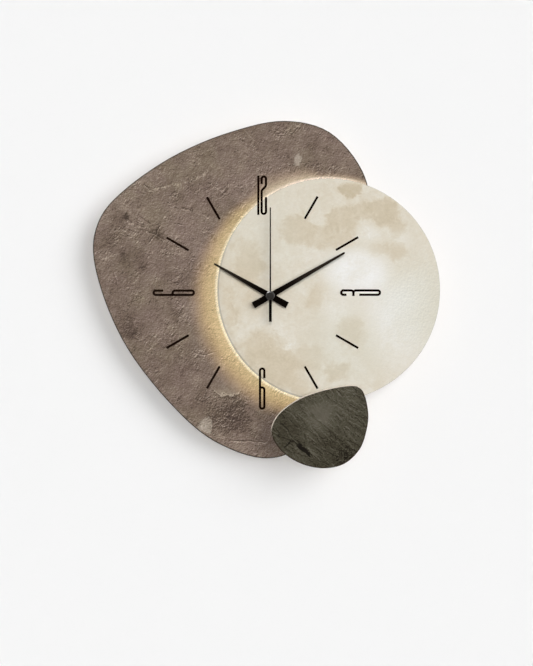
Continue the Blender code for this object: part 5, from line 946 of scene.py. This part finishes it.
def make_marks():
    """Hour marks on the board and on the moon, parted along the moon's rim."""
    cutter = rim_cutter()
    ink = black_ink()
    centre = Vector((MOON.x - DIAL.x, MOON.z - DIAL.z))
    for name, front, inside in (("marks_on_board", BOARD_FRONT, False), ("marks_on_moon", MOON_FRONT, True)):
        whole = bmesh.new()
        for path in mark_paths():
            reaches = [(Vector(spot) - centre).length < MOON_RADIUS for spot in path]
            if not any(reach == inside for reach in reaches):
                continue
            piece = new_piece("ink", ink_line(path, front))
            if any(reach != inside for reach in reaches):
                cut_by(piece, cutter, "INTERSECT" if inside else "DIFFERENCE")
            whole.from_mesh(shown_shape(piece))
            bpy.data.objects.remove(piece)
        settle(new_piece(name, whole, 30.0), "clock", "hand_paint", ink)
    bpy.data.objects.remove(cutter)


# Screws and trim

def crossed(node):
    """Screw with a rounded head and a cross recess in it, head towards the wall."""
    piece = softened(node, SCREW_ROUNDING, angle=50.0)
    low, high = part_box(node)
    place = middle(node)
    reach = RECESS_REACH * (high.x - low.x)
    for wide, tall in ((RECESS_SLOT * reach, reach), (reach, RECESS_SLOT * reach)):
        shape = bmesh.new()
        bmesh.ops.create_cube(shape, size=1.0)
        for vert in shape.verts:
            side, rise = (RECESS_TAPER, -RECESS_DEPTH) if vert.co.y < 0.0 else (1.0, RECESS_ABOVE_HEAD)
            vert.co = Vector((place.x + 2.0 * vert.co.x * wide * side, high.y + rise,
                              place.z + 2.0 * vert.co.z * tall * side))
        cutter = new_piece("recess", shape)
        cut_by(piece, cutter)
        mesh = shown_shape(piece)
        piece.modifiers.clear()
        piece.data = mesh
        bpy.data.objects.remove(cutter)
    piece.data.shade_smooth()
    piece.data.set_sharp_from_angle(angle=math.radians(40.0))
    return piece


def turned(name, node, profile):
    """Turned piece about the hands' axis: a profile of radius and height above the node's back."""
    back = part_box(node)[1].y
    rings = []
    for radius, height in profile:
        around = [polar(radius, 360.0 * i / TURNED_STEPS) for i in range(TURNED_STEPS)]
        rings.append([(AXIS.x + across, back - height, AXIS.z + up) for across, up in around])
    return stand_in(new_piece(name, tube(rings), 60.0), node)


def make_cap():
    """Cap over the hands: a nearly flat front with a broad rounded rim."""
    low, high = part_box("hand_cap")
    radius, height = 0.5 * (high.x - low.x), high.y - low.y
    profile = [(radius, 0.0)]
    for i in range(CAP_RIM_STEPS + 1):
        across, up = polar(CAP_RIM, 90.0 * i / CAP_RIM_STEPS)
        profile.append((radius - CAP_RIM + across, height - CAP_RIM - CAP_RIM_BELOW_CROWN + up))
    for share, sunk in CAP_CROWN:
        profile.append((share * radius, height - sunk))
    turned("hand_cap_finished", "hand_cap", profile)


def finish_nodes():
    """Rounded stand-ins for what shows, and finishes for all other solids."""
    softened("back_board", BOARD_ROUNDING, held=False)
    for node, width in ROUNDINGS.items():
        softened(node, width)
    for node in SLOT_OF:
        if node.startswith(SCREW_NAMES):
            crossed(node)
    for node, thing in frame["nodes"].items():
        thing.data.materials.clear()
        thing.data.materials.append(FINISHES[SLOT_OF[node]])


# Room, light and camera

def sheet(name, corners, finish):
    """Large flat sheet of the room."""
    shape = bmesh.new()
    shape.faces.new([shape.verts.new(corner) for corner in corners])
    piece = new_piece(name, shape)
    piece.data.materials.append(finish)
    return piece


def wall_paper():
    """Pale wall, seen from its front only, so that it doesn't hide the back of the clock."""
    finish = Finish("wall_paper")
    roller = finish.noise(3.0, 3.0)
    finish.close(Base_Color=(PAPER, PAPER, PAPER), Roughness=0.9, Specular_IOR_Level=0.0,
                 Normal=finish.relief(roller, 0.002))
    behind = finish.add("ShaderNodeNewGeometry", out="Backfacing")
    return finish.close_with(behind, finish.add("ShaderNodeBsdfTransparent"))


def floor_paint():
    """Pale floor that looks as bright as the wall to the camera."""
    finish = Finish("floor_paint")
    speck = finish.noise(5.0, 3.0)
    finish.close(Base_Color=finish.mix(speck, (0.92, 0.92, 0.92), (0.93, 0.93, 0.93)), Roughness=0.9)
    seen = finish.add("ShaderNodeLightPath", out="Is Camera Ray")
    return finish.close_with(seen, finish.add("ShaderNodeEmission", {}, ((PAPER, PAPER, PAPER), 1.0)))


def make_room():
    """Wall behind the clock and floor well below it."""
    sides = (-ROOM_SIDE, ROOM_SIDE, ROOM_SIDE, -ROOM_SIDE)
    heights = (FLOOR_LEVEL, FLOOR_LEVEL, WALL_TOP, WALL_TOP)
    depths = (-ROOM_DEPTH, -ROOM_DEPTH, ROOM_DEPTH, ROOM_DEPTH)
    wall = sheet("wall", [(x, WALL_FACE, z) for x, z in zip(sides, heights)], wall_paper())
    wall.visible_shadow = False
    floor = sheet("floor", [(x, y, FLOOR_LEVEL) for x, y in zip(sides, depths)], floor_paint())
    floor.visible_diffuse = False


def sun(name, direction, share, angle):
    """Wide soft light that gives the wall, or a face parallel to it, a share of the plain level."""
    along = Vector(direction).normalized()
    lamp = bpy.data.lights.new(name, "SUN")
    lamp.energy = math.pi * share / abs(along.y)
    lamp.angle = math.radians(angle)
    piece = bpy.data.objects.new(name, lamp)
    piece.rotation_euler = along.to_track_quat("-Z", "Y").to_euler()
    bpy.context.scene.collection.objects.link(piece)
    return piece


def make_light(hands):
    """Soft key from the right and above, light from the front and for the back, and a strip that only
    gloss shows. The lamp above is blocked by the hands only, so that their small shadows are crisp."""
    sun("key", (-0.90, 1.0, -0.40), KEY_SHARE, 48.0)
    sun("front", (0.0, 1.0, -0.08), FRONT_SHARE - HANDS_SHARE, 14.0)
    above = sun("above", (0.0, 1.0, -0.55), HANDS_SHARE, 9.0)
    above.light_linking.blocker_collection = hands
    sun("behind", (0.35, -1.0, -0.55), BEHIND_SHARE, 40.0)
    strip = sun("strip", (0.80, 1.0, -1.4), STRIP_SHARE, 32.0)
    strip.visible_diffuse = False


def make_world():
    """Faint even light from all around, which the camera and reflections see as pale paper."""
    world = bpy.data.worlds.new("studio")
    bpy.context.scene.world = world
    world.use_nodes = True
    air = Nodes(world.node_tree)
    plain, seen = (air.add("ShaderNodeBackground", {}, ((level, level, level), strength))
                   for level, strength in ((1.0, AMBIENT), (PAPER, 1.0)))
    share = air.add("ShaderNodeLightPath", out="Is Camera Ray")
    for ray in ("Is Glossy Ray", "Is Transmission Ray"):
        share = share.math("MAXIMUM", air.add("ShaderNodeLightPath", out=ray))
    blend = air.add("ShaderNodeMixShader", {}, (share, plain, seen))
    air.feed(air.tree.nodes["World Output"].inputs["Surface"], blend)


def make_camera():
    """Camera straight in front, far off, framing the same part of the wall as the photograph."""
    lens = bpy.data.cameras.new("camera")
    lens.lens = LENS
    lens.sensor_width = SENSOR
    lens.clip_end = 50.0
    camera = bpy.data.objects.new("camera", lens)
    camera.location = (PHOTO_MIDDLE[0], PHOTO_PLANE - PHOTO_HEIGHT * LENS / SENSOR, PHOTO_MIDDLE[1])
    camera.rotation_euler = (math.radians(90.0), 0.0, 0.0)
    bpy.context.scene.collection.objects.link(camera)
    bpy.context.scene.camera = camera


def hand_pieces():
    """The pieces whose small shadows show on the face."""
    hands = bpy.data.collections.new("hands")
    for node in ("hour_hand", "minute_hand", "second_hand", "hand_cap"):
        hands.objects.link(bpy.data.objects[node + "_finished"])
    return hands


bpy.context.scene.view_settings.view_transform = "Standard"
make_camera()
make_room()
finish_nodes()
make_cap()
make_marks()
make_light(hand_pieces())
make_world()
